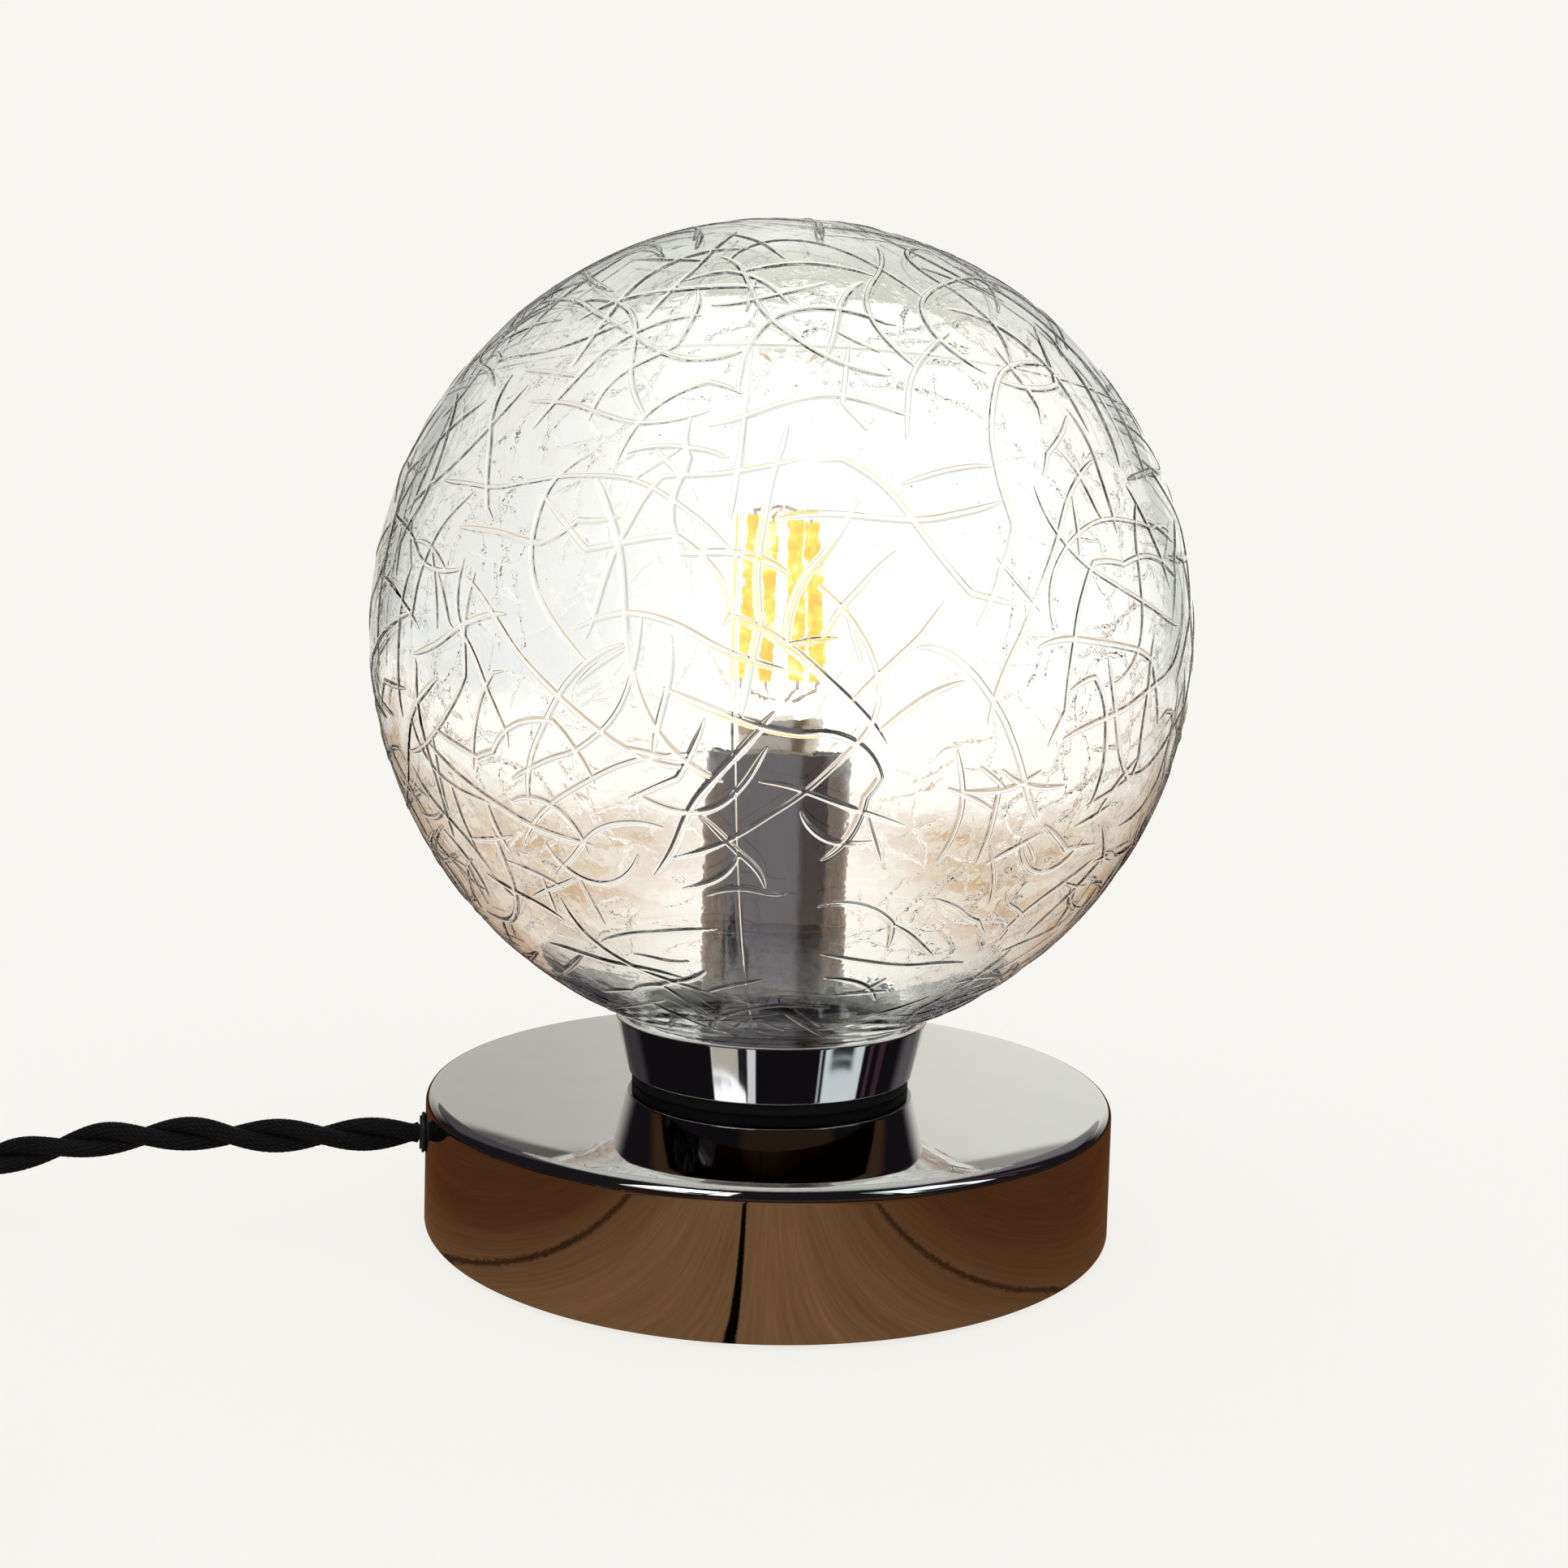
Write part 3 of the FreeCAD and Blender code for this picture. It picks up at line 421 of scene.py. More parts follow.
def textile(name, tone_a, tone_b, per_turn=12.0, pitch=6.0, strength=0.55):
    """Woven cover of a strand: two families of threads crossing, from the strand's own UVs (turns round, turns along)."""
    mt, nt, out = new_material(name)
    tc = node(nt, "ShaderNodeTexCoord")
    sep = node(nt, "ShaderNodeSeparateXYZ")
    put(nt, tc.outputs["UV"], sep.inputs[0])
    u = calc(nt, "MULTIPLY", sep.outputs[0], per_turn)
    w = calc(nt, "MULTIPLY", sep.outputs[1], pitch)
    p = calc(nt, "ADD", u, w)
    q = calc(nt, "SUBTRACT", u, w)
    sp = calc(nt, "ABSOLUTE", calc(nt, "SINE", calc(nt, "MULTIPLY", p, math.pi)))
    sq = calc(nt, "ABSOLUTE", calc(nt, "SINE", calc(nt, "MULTIPLY", q, math.pi)))
    cross = calc(nt, "MULTIPLY", sp, sq)
    par = calc(nt, "PINGPONG", calc(nt, "ADD", calc(nt, "FLOOR", p), calc(nt, "FLOOR", q)), 1.0)
    fuzz = noise(nt, coords(nt), 2600.0, 3.0, 0.7)
    h = calc(nt, "MULTIPLY", cross, calc(nt, "ADD", calc(nt, "MULTIPLY", par, 0.3), 0.7))
    h2 = calc(nt, "ADD", h, calc(nt, "MULTIPLY", fuzz, 0.25))
    # the weave's colour follows the thread height, darker in the low gaps and where a thread passes under: painted
    # shade, with the fuzz as random tone
    col = ramp(nt, h2, [(0.1, tone_a), (0.9, tone_b)])
    principled(nt, out, color=col, rough=span(nt, fuzz, 0.3, 0.7, 0.62, 0.85), sheen=0.015, sheen_rough=0.4, spec=0.15,
               normal=bump(nt, h2, strength, 0.00012))
    return mt


def glass(name, tint, ior, rough, waviness=0.0, emit=None, lines=()):
    mt, nt, out = new_material(name)
    v = coords(nt)
    kw = dict(color=tint, glass=1.0, ior=ior, rough=rough)
    if waviness:
        a = noise(nt, v, 95.0, 2.0, 0.5, 0.3)
        b = noise(nt, v, 420.0, 2.0, 0.5, 0.6)
        h = calc(nt, "ADD", a, calc(nt, "MULTIPLY", b, 0.22))
        kw["normal"] = bump(nt, h, waviness, 0.0006)
    # the flanks of the raised lines, from each point's distance to a line in half widths
    for mark, inner, tall in lines:
        at = node(nt, "ShaderNodeAttribute", attribute_name=mark)
        flank = span(nt, at.outputs["Fac"], inner, 1.0, 1.0, 0.0, "SMOOTHSTEP")
        kw["normal"] = bump(nt, flank, 1.0, tall, kw.get("normal"))
    if emit:
        kw["emit"] = emit[0]
        kw["emit_power"] = emit[1]
    principled(nt, out, **kw)
    return mt


M = {}
M["black_chrome"] = mirror_metal("black_chrome", (0.56, 0.555, 0.56), 0.018, 0.05)
M["collar_chrome"] = mirror_metal("collar_chrome", (0.56, 0.555, 0.565), 0.015, 0.04)
M["dark_nickel"] = mirror_metal("dark_nickel", (0.19, 0.184, 0.195), 0.03, 0.055)
M["cast_iron"] = satin_metal("cast_iron", (0.10, 0.10, 0.105), 0.6, (1, 1, 1), 0.8)
M["zinc_steel"] = satin_metal("zinc_steel", (0.62, 0.63, 0.60), 0.3, (1, 0.2, 1), 0.2)
M["nickel"] = satin_metal("nickel", (0.66, 0.62, 0.56), 0.18, (1, 1, 0.2), 0.12)
M["brass"] = satin_metal("brass", (0.80, 0.60, 0.28), 0.22, (1, 1, 0.2), 0.12)
M["felt"] = plastic("felt", (0.030, 0.030, 0.032), 0.92, 1.0, 2400.0)
M["black_plastic"] = plastic("black_plastic", (0.020, 0.020, 0.021), 0.42, 0.30, 3200.0)
M["black_gloss"] = plastic("black_gloss", (0.016, 0.016, 0.017), 0.16, 0.05, 900.0, 0.4)
M["holder_plastic"] = plastic("holder_plastic", (0.80, 0.79, 0.75), 0.35, 0.12, 1500.0)
M["rubber"] = plastic("rubber", (0.018, 0.018, 0.018), 0.55, 0.25, 2200.0)
M["spacer_black"] = plastic("spacer_black", (0.003, 0.003, 0.003), 0.75, 0.3, 3200.0)
M["gasket"] = plastic("gasket", (0.10, 0.10, 0.098), 0.45, 0.1, 2200.0)
M["core_brown"] = plastic("core_brown", (0.16, 0.06, 0.025), 0.4, 0.1)
M["core_blue"] = plastic("core_blue", (0.03, 0.10, 0.35), 0.4, 0.1)
M["black_textile"] = textile("black_textile", (0.002, 0.002, 0.0023), (0.010, 0.0095, 0.010))
M["tie_fabric"] = plastic("tie_fabric", (0.025, 0.025, 0.026), 0.8, 0.8, 1600.0)
M["crackle_glass"] = glass("crackle_glass", (0.984, 0.989, 0.972), 1.5, 0.0, 0.10, lines=(("line", 0.45, 0.00010), ("seam", 0.3, 0.00003)))
# the bulb's clear envelope is given a faint white glow: a painted glow for the glare round the lit filaments
M["bulb_glass"] = glass("bulb_glass", (0.995, 0.995, 0.99), 1.12, 0.0, 0.0, ((1.0, 0.985, 0.95), 0.06))


def filament_material():
    mt, nt, out = new_material("filament")
    n1 = noise(nt, coords(nt), 260.0, 3.0, 0.6)
    col = ramp(nt, n1, [(0.34, (0.98, 0.46, 0.02)), (0.47, (1.0, 0.66, 0.04)), (0.56, (1.0, 0.80, 0.10)), (0.63, (1.0, 0.95, 0.70))])
    principled(nt, out, color=(0.30, 0.13, 0.005), rough=0.6, spec=0.1, emit=col, emit_power=1.0)
    return mt


M["filament"] = filament_material()


# ------------------------------------------------------------------ turned metal parts
def fine_lathe(name, outline, seg, body, replaced, material, crease=40.0):
    ob = lathe(name, outline, seg)
    ob.data.materials.append(material)
    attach(ob, body)
    if replaced:
        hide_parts(*replaced)
    return ob


BR, BH, BT, BF = 62.5, 23.2, 1.2, 2.0
bi = BF - 0.6
outline = run_pts((5.3, BH), (BR - BF, BH), 5.0) + arc_pts(BR - BF, BH - BF, BF, 90, 0, 14)
outline += run_pts((BR, BH - BF - 0.25), (BR, 0.7), 3.0) + arc_pts(BR - 0.2, 0.7, 0.2, 0, -90, 4)
outline += arc_pts(BR - BT + 0.2, 0.7, 0.2, -90, -180, 4)
outline += run_pts((BR - BT, 1.0), (BR - BT, BH - BT - bi), 6.0) + arc_pts(BR - BT - bi, BH - BT - bi, bi, 0, 90, 6) + [(5.3, BH - BT)]


def shell_with_hole():
    """The base cup, with the round hole for the cord through its wall on the -X side."""
    ob = lathe("base_cup", outline, 720)
    cut = lathe("cut", [(3.12, -6.0), (3.12, 6.0)], 48, closed=False)
    me = cut.data
    import bmesh
    bm = bmesh.new()
    bm.from_mesh(me)
    bmesh.ops.holes_fill(bm, edges=bm.edges, sides=0)
    bmesh.ops.recalc_face_normals(bm, faces=bm.faces)
    bm.to_mesh(me)
    bm.free()
    me.transform(Matrix.Translation((-BR * MM, 0, 0.0157)) @ Matrix.Rotation(math.radians(90), 4, "Y"))
    md = ob.modifiers.new("hole", "BOOLEAN")
    md.operation = "DIFFERENCE"
    md.solver = "EXACT"
    md.object = cut
    dg = bpy.context.evaluated_depsgraph_get()
    me2 = bpy.data.meshes.new_from_object(ob.evaluated_get(dg))
    ob.modifiers.clear()
    old = ob.data
    ob.data = me2
    bpy.data.meshes.remove(old)
    bpy.data.objects.remove(cut)
    ob.data.polygons.foreach_set("use_smooth", np.ones(len(ob.data.polygons), bool))
    return ob


base = shell_with_hole()
base.data.materials.clear()
base.data.materials.append(M["black_chrome"])
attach(base, "lamp_base")
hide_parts("base_shell")

CZ0, CZ1, CRB, CRT, CT = 25.2, 35.6, 26.45, 28.95, 1.55
dr = (CRT - CRB) / (CZ1 - CZ0)


def cup_out(z):
    return CRB + dr * (z - CZ0)


lip = 0.32
edge, lean = 0.4, math.degrees(math.atan(dr))
foot = CZ0 + edge - edge * math.sin(math.radians(lean))
turn_r = cup_out(foot) - edge * math.cos(math.radians(lean))
outline = run_pts((5.2, CZ0), (turn_r - 0.1, CZ0), 4.0) + arc_pts(turn_r, CZ0 + edge, edge, -90, -lean, 8)
outline += [(cup_out(foot + 0.08), foot + 0.08)] + run_pts((cup_out(foot + 0.3), foot + 0.3), (cup_out(CZ1 - 0.45), CZ1 - 0.45), 1.5)
top_z = CZ1 - lip - 0.01
tip = top_z - lip * math.sin(math.radians(lean))
outline += [(cup_out(tip - 0.06), tip - 0.06)] + arc_pts(cup_out(tip) - lip * math.cos(math.radians(lean)), top_z, lip, -lean, 90, 8)
outline += arc_pts(cup_out(CZ1) - CT + 0.28, CZ1 - 0.29, 0.28, 90, 172, 5)
outline += [(cup_out(CZ1 - 0.6) - CT, CZ1 - 0.6), (cup_out(26.4) - CT, 26.4), (cup_out(26.2) - CT - 0.2, 26.2), (12.0, 26.2), (5.2, 26.2)]
collar = fine_lathe("collar_ring", outline, 384, "lamp_base", ["collar_cup"], M["collar_chrome"])

outline = [(5.2, BH), (25.6, BH), (25.75, BH + 0.15), (25.75, CZ0 - 0.15), (25.6, CZ0), (5.2, CZ0)]
groove = fine_lathe("groove_disc", outline, 192, "lamp_base", ["collar_spacer"], M["spacer_black"])

# bush in the cord's hole: a thin rounded flange outside, a short sleeve through the wall, a lip inside
outline = [(3.0, -0.55), (3.12, -0.66)] + arc_pts(3.24, -0.38, 0.28, -90, 60, 6) + [(3.36, -0.02), (3.1, 0.0), (3.1, BT + 0.25), (3.7, BT + 0.35), (3.75, BT + 1.1), (3.0, BT + 1.2)]
bush = lathe("cord_bush", outline, 64)
bush.data.transform(Matrix.Translation((-BR * MM, 0, 0.0157)) @ Matrix.Rotation(math.radians(90), 4, "Y"))
bush.data.materials.append(M["black_plastic"])
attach(bush, "lamp_base")
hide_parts("cord_grommet")

SR, ST, STOP = 13.5, 0.7, 84.0
outline = [(SR - ST, 26.25), (SR, 26.25)] + run_pts((SR, 27.0), (SR, STOP - 0.35), 4.0) + arc_pts(SR - 0.3, STOP - 0.3, 0.3, 0, 90, 5)
outline += arc_pts(SR - ST + 0.25, STOP - 0.25, 0.25, 90, 180, 4) + run_pts((SR - ST, STOP - 1.0), (SR - ST, 27.0), 8.0)
sleeve = fine_lathe("holder_tube", outline, 256, "lamp_base", ["lampholder_sleeve"], M["dark_nickel"])


# ------------------------------------------------------------------ globe with its raised crackle lines
GZ, GR, GT = 104.0, 73.2, 3.0
RIDGE = 0.20
NZT, NRT = 35.79, 26.56
NZI, NRI = 38.31, 24.75


def outer_radius(z):
    """Radius of the smooth outer ball under the lines, a little smaller than the outline the lines reach."""
    t = np.clip((z - NZT) / 9.0, 0, 1)
    t = t * t * (3 - 2 * t)
    return GR - (RIDGE + 0.02) * t


def strokes():
    """Crackle lines: wandering strokes all over the ball that cross one another like a loose net, thin at both ends, some forked. Each is (points on the unit ball, half width in mm, height share)."""
    made = []
    seeds = []
    tries = 0
    while len(seeds) < 560 and tries < 60000:
        tries += 1
        v = rng.normal(size=3)
        v /= np.linalg.norm(v)
        if v[2] < -0.925:
            continue
        near = 6.1 if v[2] > -0.35 else 4.7
        if all(np.dot(v, s) < math.cos(near / GR) for s in seeds):
            seeds.append(v)

    def walk(start, direction, length, bend, kinks):
        p, d = start.copy(), direction.copy()
        pts = [p.copy()]
        step = 0.35 / GR
        n = int(length / 0.35)
        k = bend
        kink_at = set(int(x) for x in rng.uniform(0.1, 0.95, kinks) * n)
        for i in range(n):
            k += rng.normal() * 0.0034
            k *= 0.984
            turn = k
            if i in kink_at:
                turn += rng.choice([-1, 1]) * rng.uniform(0.3, 0.9)
            side = np.cross(p, d)
            d = d * math.cos(turn) + side * math.sin(turn)
            q = p * math.cos(step) + d * math.sin(step)
            d = d * math.cos(step) - p * math.sin(step)
            p = q / np.linalg.norm(q)
            d -= p * (d @ p)
            d /= np.linalg.norm(d)
            pts.append(p.copy())
            if p[2] < -0.93:
                break
        return np.array(pts)

    laid, laid_dir = np.zeros((0, 3)), np.zeros((0, 3))
    for s in seeds:
        low = s[2] < -0.35
        length = float(np.clip(rng.lognormal(math.log(27.0 if not low else 17.0), 0.42), 9.0, 56.0))
        best = None
        for _ in range(7):
            a = rng.normal(size=3)
            if low:
                # the lower lines run mostly round the ball
                east = np.array([-s[1], s[0], 0.0]) / math.hypot(s[0], s[1])
                lean = rng.normal() * 0.6
                a = east * math.cos(lean) + np.cross(s, east) * math.sin(lean)
            a -= s * (a @ s)
            a /= np.linalg.norm(a)
            bend = rng.normal() * (0.015 if not low else 0.022)
            share = rng.uniform(0.3, 0.7)
            one = walk(s, a, length * share, bend, rng.poisson(length * share / 45.0))
            two = walk(s, -a, length * (1 - share), bend * rng.choice([-1, 1], p=[0.7, 0.3]), rng.poisson(length * (1 - share) / 45.0))
            pts = np.concatenate([two[::-1], one[1:]])
            thin = pts[::5]
            way = np.gradient(thin, axis=0)
            way /= np.linalg.norm(way, axis=1)[:, None] + 1e-12
            if len(laid):
                dot = thin @ laid.T
                k_ = dot.argmax(1)
                gap_ = np.arccos(np.clip(dot[np.arange(len(thin)), k_], -1, 1)) * GR
                along = np.abs((way * laid_dir[k_]).sum(1))
                worth = np.minimum(gap_, 7.0).mean() / 7.0 - 2.2 * ((gap_ < 4.0) & (along > 0.75)).mean()
            else:
                worth = 0.0
            if best is None or worth > best[0]:
                best = (worth, pts, thin, way)
        _, pts, thin, way = best
        laid, laid_dir = np.concatenate([laid, thin]), np.concatenate([laid_dir, way])
        wide = float(np.clip(rng.normal(0.54, 0.07), 0.40, 0.70))
        made.append((pts, wide, float(rng.uniform(0.78, 1.0))))
        if rng.random() < 0.28 and len(pts) > 24:
            i = int(rng.uniform(0.3, 0.75) * len(pts))
            t = pts[i + 1] - pts[i]
            t /= np.linalg.norm(t)
            side = np.cross(pts[i], t) * rng.choice([-1, 1])
            ang = rng.uniform(0.7, 1.3)
            dd = t * math.cos(ang) + side * math.sin(ang)
            dd -= pts[i] * (dd @ pts[i])
            dd /= np.linalg.norm(dd)
            twig = walk(pts[i], dd, float(rng.uniform(5.0, 13.0)), rng.normal() * 0.012, 0)
            made.append((twig, wide * 0.9, 0.85))
    return made


def half_width(n, wide):
    """Half width along a stroke: even, with both ends drawn out to points over a few millimetres."""
    run = np.minimum(np.arange(n), np.arange(n)[::-1]) * 0.35
    t = np.clip(run / 5.0, 0, 1)
    return 0.18 + (wide - 0.18) * np.sin(math.pi / 2 * t) ** 0.8


def refine(v, t, is_outer, grid, cell, low, longest, passes):
    """Splits the triangles that lie near a stroke until their edges are short, keeping the surface closed."""
    for _ in range(passes):
        e = np.sort(np.stack([t[:, [0, 1]], t[:, [1, 2]], t[:, [2, 0]]], 1).reshape(-1, 2), axis=1)
        key = e[:, 0].astype(np.int64) * len(v) + e[:, 1]
        uniq, inv = np.unique(key, return_inverse=True)
        ea, eb = (uniq // len(v)).astype(np.int64), (uniq % len(v)).astype(np.int64)
        long_ = np.linalg.norm(v[ea] - v[eb], axis=1)
        mid = (v[ea] + v[eb]) / 2
        ij = np.floor((mid - low) / cell).astype(int)
        near = grid[ij[:, 0], ij[:, 1], ij[:, 2]]
        for w in (ea, eb):
            ij = np.floor((v[w] - low) / cell).astype(int)
            near |= grid[ij[:, 0], ij[:, 1], ij[:, 2]]
        mark = near & (long_ > longest) & is_outer[ea] & is_outer[eb]
        if not mark.any():
            break
        idx = np.full(len(uniq), -1, np.int64)
        idx[mark] = len(v) + np.arange(mark.sum())
        newv = mid[mark]
        c = newv - np.array([0, 0, GZ])
        c *= (outer_radius(newv[:, 2]) / np.linalg.norm(c, axis=1))[:, None]
        v = np.concatenate([v, c + np.array([0, 0, GZ])])
        is_outer = np.concatenate([is_outer, np.ones(mark.sum(), bool)])
        em = idx[inv].reshape(-1, 3)
        cnt = (em >= 0).sum(1)
        parts = [t[cnt == 0]]
        a = em[cnt == 3]
        b = t[cnt == 3]
        if len(a):
            parts += [np.stack([b[:, 0], a[:, 0], a[:, 2]], 1), np.stack([a[:, 0], b[:, 1], a[:, 1]], 1),
                      np.stack([a[:, 2], a[:, 1], b[:, 2]], 1), np.stack([a[:, 0], a[:, 1], a[:, 2]], 1)]
        for r in range(3):
            sel = (cnt == 1) & (em[:, r] >= 0)
            b = np.roll(t[sel], -r, axis=1)
            mm = em[sel, r]
            parts += [np.stack([b[:, 0], mm, b[:, 2]], 1), np.stack([mm, b[:, 1], b[:, 2]], 1)]
            sel = (cnt == 2) & (em[:, (r + 2) % 3] < 0)
            b = np.roll(t[sel], -r, axis=1)
            m0, m1 = em[sel, r], em[sel, (r + 1) % 3]
            parts += [np.stack([m0, b[:, 1], m1], 1), np.stack([b[:, 0], m0, m1], 1), np.stack([b[:, 0], m1, b[:, 2]], 1)]
        t = np.concatenate(parts)
    return v, t, is_outer


def build_globe():
    seg = 240
    a_end = math.degrees(math.asin(NRT / GR))
    out_ang = np.linspace(0.75, 180 - a_end, 122)
    prof, flag = [], []
    for a in out_ang:
        r, z = math.sin(math.radians(a)), math.cos(math.radians(a))
        zz = GZ + GR * z
        rad = float(outer_radius(np.array([zz]))[0])
        prof.append((rad * r, GZ + rad * z))
        flag.append(True)
    prof[-1] = (NRT, NZT)
    prof += [(25.9, 33.7), (25.25, 31.6), (24.67, 29.75), (24.2, 28.25), (24.0, 27.8), (23.75, 27.48), (23.3, 27.3), (22.5, 27.28), (21.85, 27.32), (21.5, 27.5), (21.31, 27.85),
             (22.1, 30.3), (23.0, 33.0), (23.9, 35.7)]
    flag += [False] * 14
    ri = GR - GT
    in_end = math.degrees(math.asin(NRI / ri))
    for a in np.linspace(180 - in_end, 1.0, 96):
        prof.append((ri * math.sin(math.radians(a)), GZ + ri * math.cos(math.radians(a))))
        flag.append(False)
    prof = np.array(prof)
    k = len(prof)
    ang = np.arange(seg) * 2 * math.pi / seg
    v = np.zeros((k, seg, 3))
    v[:, :, 0] = prof[:, :1] * np.cos(ang)
    v[:, :, 1] = prof[:, :1] * np.sin(ang)
    v[:, :, 2] = prof[:, 1:]
    v = v.reshape(-1, 3)
    is_outer = np.repeat(np.array(flag), seg)
    tri = []
    i = np.arange(k - 1)[:, None] * seg
    j = np.arange(seg)[None, :]
    j2 = (j + 1) % seg
    a, b, c, d = (i + j), (i + seg + j), (i + seg + j2), (i + j2)
    tri.append(np.stack([a, b, c], -1).reshape(-1, 3))
    tri.append(np.stack([a, c, d], -1).reshape(-1, 3))
    top_o, top_i = len(v), len(v) + 1
    v = np.concatenate([v, [[0, 0, GZ + float(outer_radius(np.array([177.0]))[0])], [0, 0, GZ + ri]]])
    is_outer = np.concatenate([is_outer, [True, False]])
    jj = np.arange(seg)
    tri.append(np.stack([np.full(seg, top_o), jj, (jj + 1) % seg], 1))
    lastr = (k - 1) * seg
    tri.append(np.stack([np.full(seg, top_i), lastr + (jj + 1) % seg, lastr + jj], 1))
    t = np.concatenate(tri)

    lines = strokes()
    # mould seams: one round the ball, two down its sides
    mould = []
    az0 = math.radians(-108.9)
    for az in (az0, az0 + math.pi):
        th = np.radians(np.arange(59.0, 158.0, 0.25))
        mould.append((np.stack([np.sin(th) * math.cos(az), np.sin(th) * math.sin(az), np.cos(th)], 1), 0.34, 0.26))
    th = math.radians(58.0)
    ph = np.radians(np.arange(0, 360.0, 0.25))
    mould.append((np.stack([math.sin(th) * np.cos(ph), math.sin(th) * np.sin(ph), np.full(len(ph), math.cos(th))], 1), 0.34, 0.30))

    cell = 0.6
    low = np.array([-76.0, -76.0, 20.0])
    grid = np.zeros((254, 254, 264), bool)
    reach = 0.75
    r_ = int(math.ceil(reach / cell))
    offs = np.array([(x, y, z) for x in range(-r_, r_ + 1) for y in range(-r_, r_ + 1) for z in range(-r_, r_ + 1)
                     if math.sqrt(x * x + y * y + z * z) * cell <= reach + 0.35])
    for pts, _, _ in lines + mould:
        ij = np.floor((pts * (GR - 0.4) + np.array([0, 0, GZ]) - low) / cell).astype(int)
        ij = np.unique((ij[:, None, :] + offs[None]).reshape(-1, 3), axis=0)
        ij = ij[((ij >= 0) & (ij < np.array(grid.shape))).all(1)]
        grid[ij[:, 0], ij[:, 1], ij[:, 2]] = True
    v, t, is_outer = refine(v, t, is_outer, grid, cell, low, GLOBE_EDGE, 5)

    # raise the lines
    n_out = np.flatnonzero(is_outer)
    u = v[n_out] - np.array([0, 0, GZ])
    rad = np.linalg.norm(u, axis=1)
    u /= rad[:, None]
    total = np.zeros(len(u))
    # the lines are lower round the back
    behind = np.clip((u[:, 1] + 0.10) / 0.35, 0, 1)
    behind = behind * behind * (3 - 2 * behind)
    near = {"line": np.full(len(u), 2.5), "seam": np.full(len(u), 2.5)}
    for group, mark in ((lines, "line"), (mould, "seam")):
        for pts, wide, share in group:
            mid = pts[len(pts) // 2]
            wide_arc = np.arccos(np.clip(pts @ mid, -1, 1)).max() + 1.2 / GR
            cand = np.flatnonzero(u @ mid > math.cos(min(math.pi, wide_arc))) if wide_arc < 1.4 else np.arange(len(u))
            if not len(cand):
                continue
            w = half_width(len(pts), wide) if group is lines else np.full(len(pts), wide)
            hs = (np.clip(w / wide, 0, 1) ** 1.1 if group is lines else np.ones(len(pts))) * share
            for lo in range(0, len(cand), 40000):
                cc = cand[lo:lo + 40000]
                # rough cut by the grid of points first
                d2 = 2 - 2 * (u[cc] @ pts.T)
                k_ = d2.argmin(1)
                d = np.sqrt(np.maximum(d2[np.arange(len(cc)), k_], 0)) * GR
                # distance to the line between neighbours rather than to its nearest point
                for s_ in (-1, 1):
                    kk = np.clip(k_ + s_, 0, len(pts) - 1)
                    seg_ = pts[kk] - pts[k_]
                    l2 = np.maximum((seg_ ** 2).sum(1), 1e-12)
                    tt = np.clip(((u[cc] - pts[k_]) * seg_).sum(1) / l2, 0, 1)
                    d = np.minimum(d, np.linalg.norm(u[cc] - pts[k_] - tt[:, None] * seg_, axis=1) * GR)
                near[mark][cc] = np.minimum(near[mark][cc], d / w[k_])
                x = np.clip(d / w[k_], 0, 1)
                h = (1 - x ** 3) ** 2 * hs[k_]
                total[cc] = (total[cc] ** 5 + h ** 5) ** 0.2
    zfade = np.clip((v[n_out, 2] - 37.0) / 4.0, 0, 1)
    total = np.minimum(total, 1.0) * RIDGE * zfade * (1 - 0.5 * behind)
    flat = np.where(near["line"] < 1, 1 - (1 - np.maximum(near["line"], 0.45)) * 0.38, near["line"])
    near["line"] = near["line"] * (1 - behind) + flat * behind
    v[n_out] += u * total[:, None]

    # the blown wall is a little uneven inside
    n_in = np.flatnonzero(~is_outer)
    w = v[n_in]
    swell = np.zeros(len(w))
    for _ in range(9):
        kx = rng.normal(size=3) * 0.075
        swell += np.sin(w @ kx + rng.uniform(0, 6.28)) * 0.028
    keep = np.clip((w[:, 2] - 40.0) / 8.0, 0, 1)
    c = w - np.array([0, 0, GZ])
    c /= np.linalg.norm(c, axis=1)[:, None]
    v[n_in] += c * (swell * keep)[:, None]
    marks = {}
    for name in near:
        whole = np.full(len(v), 2.5)
        whole[n_out] = np.where(zfade > 0.5, near[name], 2.5)
        marks[name] = whole
    return v * MM, t, marks


GLOBE_EDGE = 0.30
gv, gt, marks = build_globe()
print("globe vertices", len(gv), "triangles", len(gt))
globe = tri_object("crackle_globe", gv, gt)
for name, value in marks.items():
    globe.data.attributes.new(name, "FLOAT", "POINT").data.foreach_set("value", value.astype(np.float32))
globe.data.materials.append(M["crackle_glass"])
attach(globe, "globe")
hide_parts("globe")


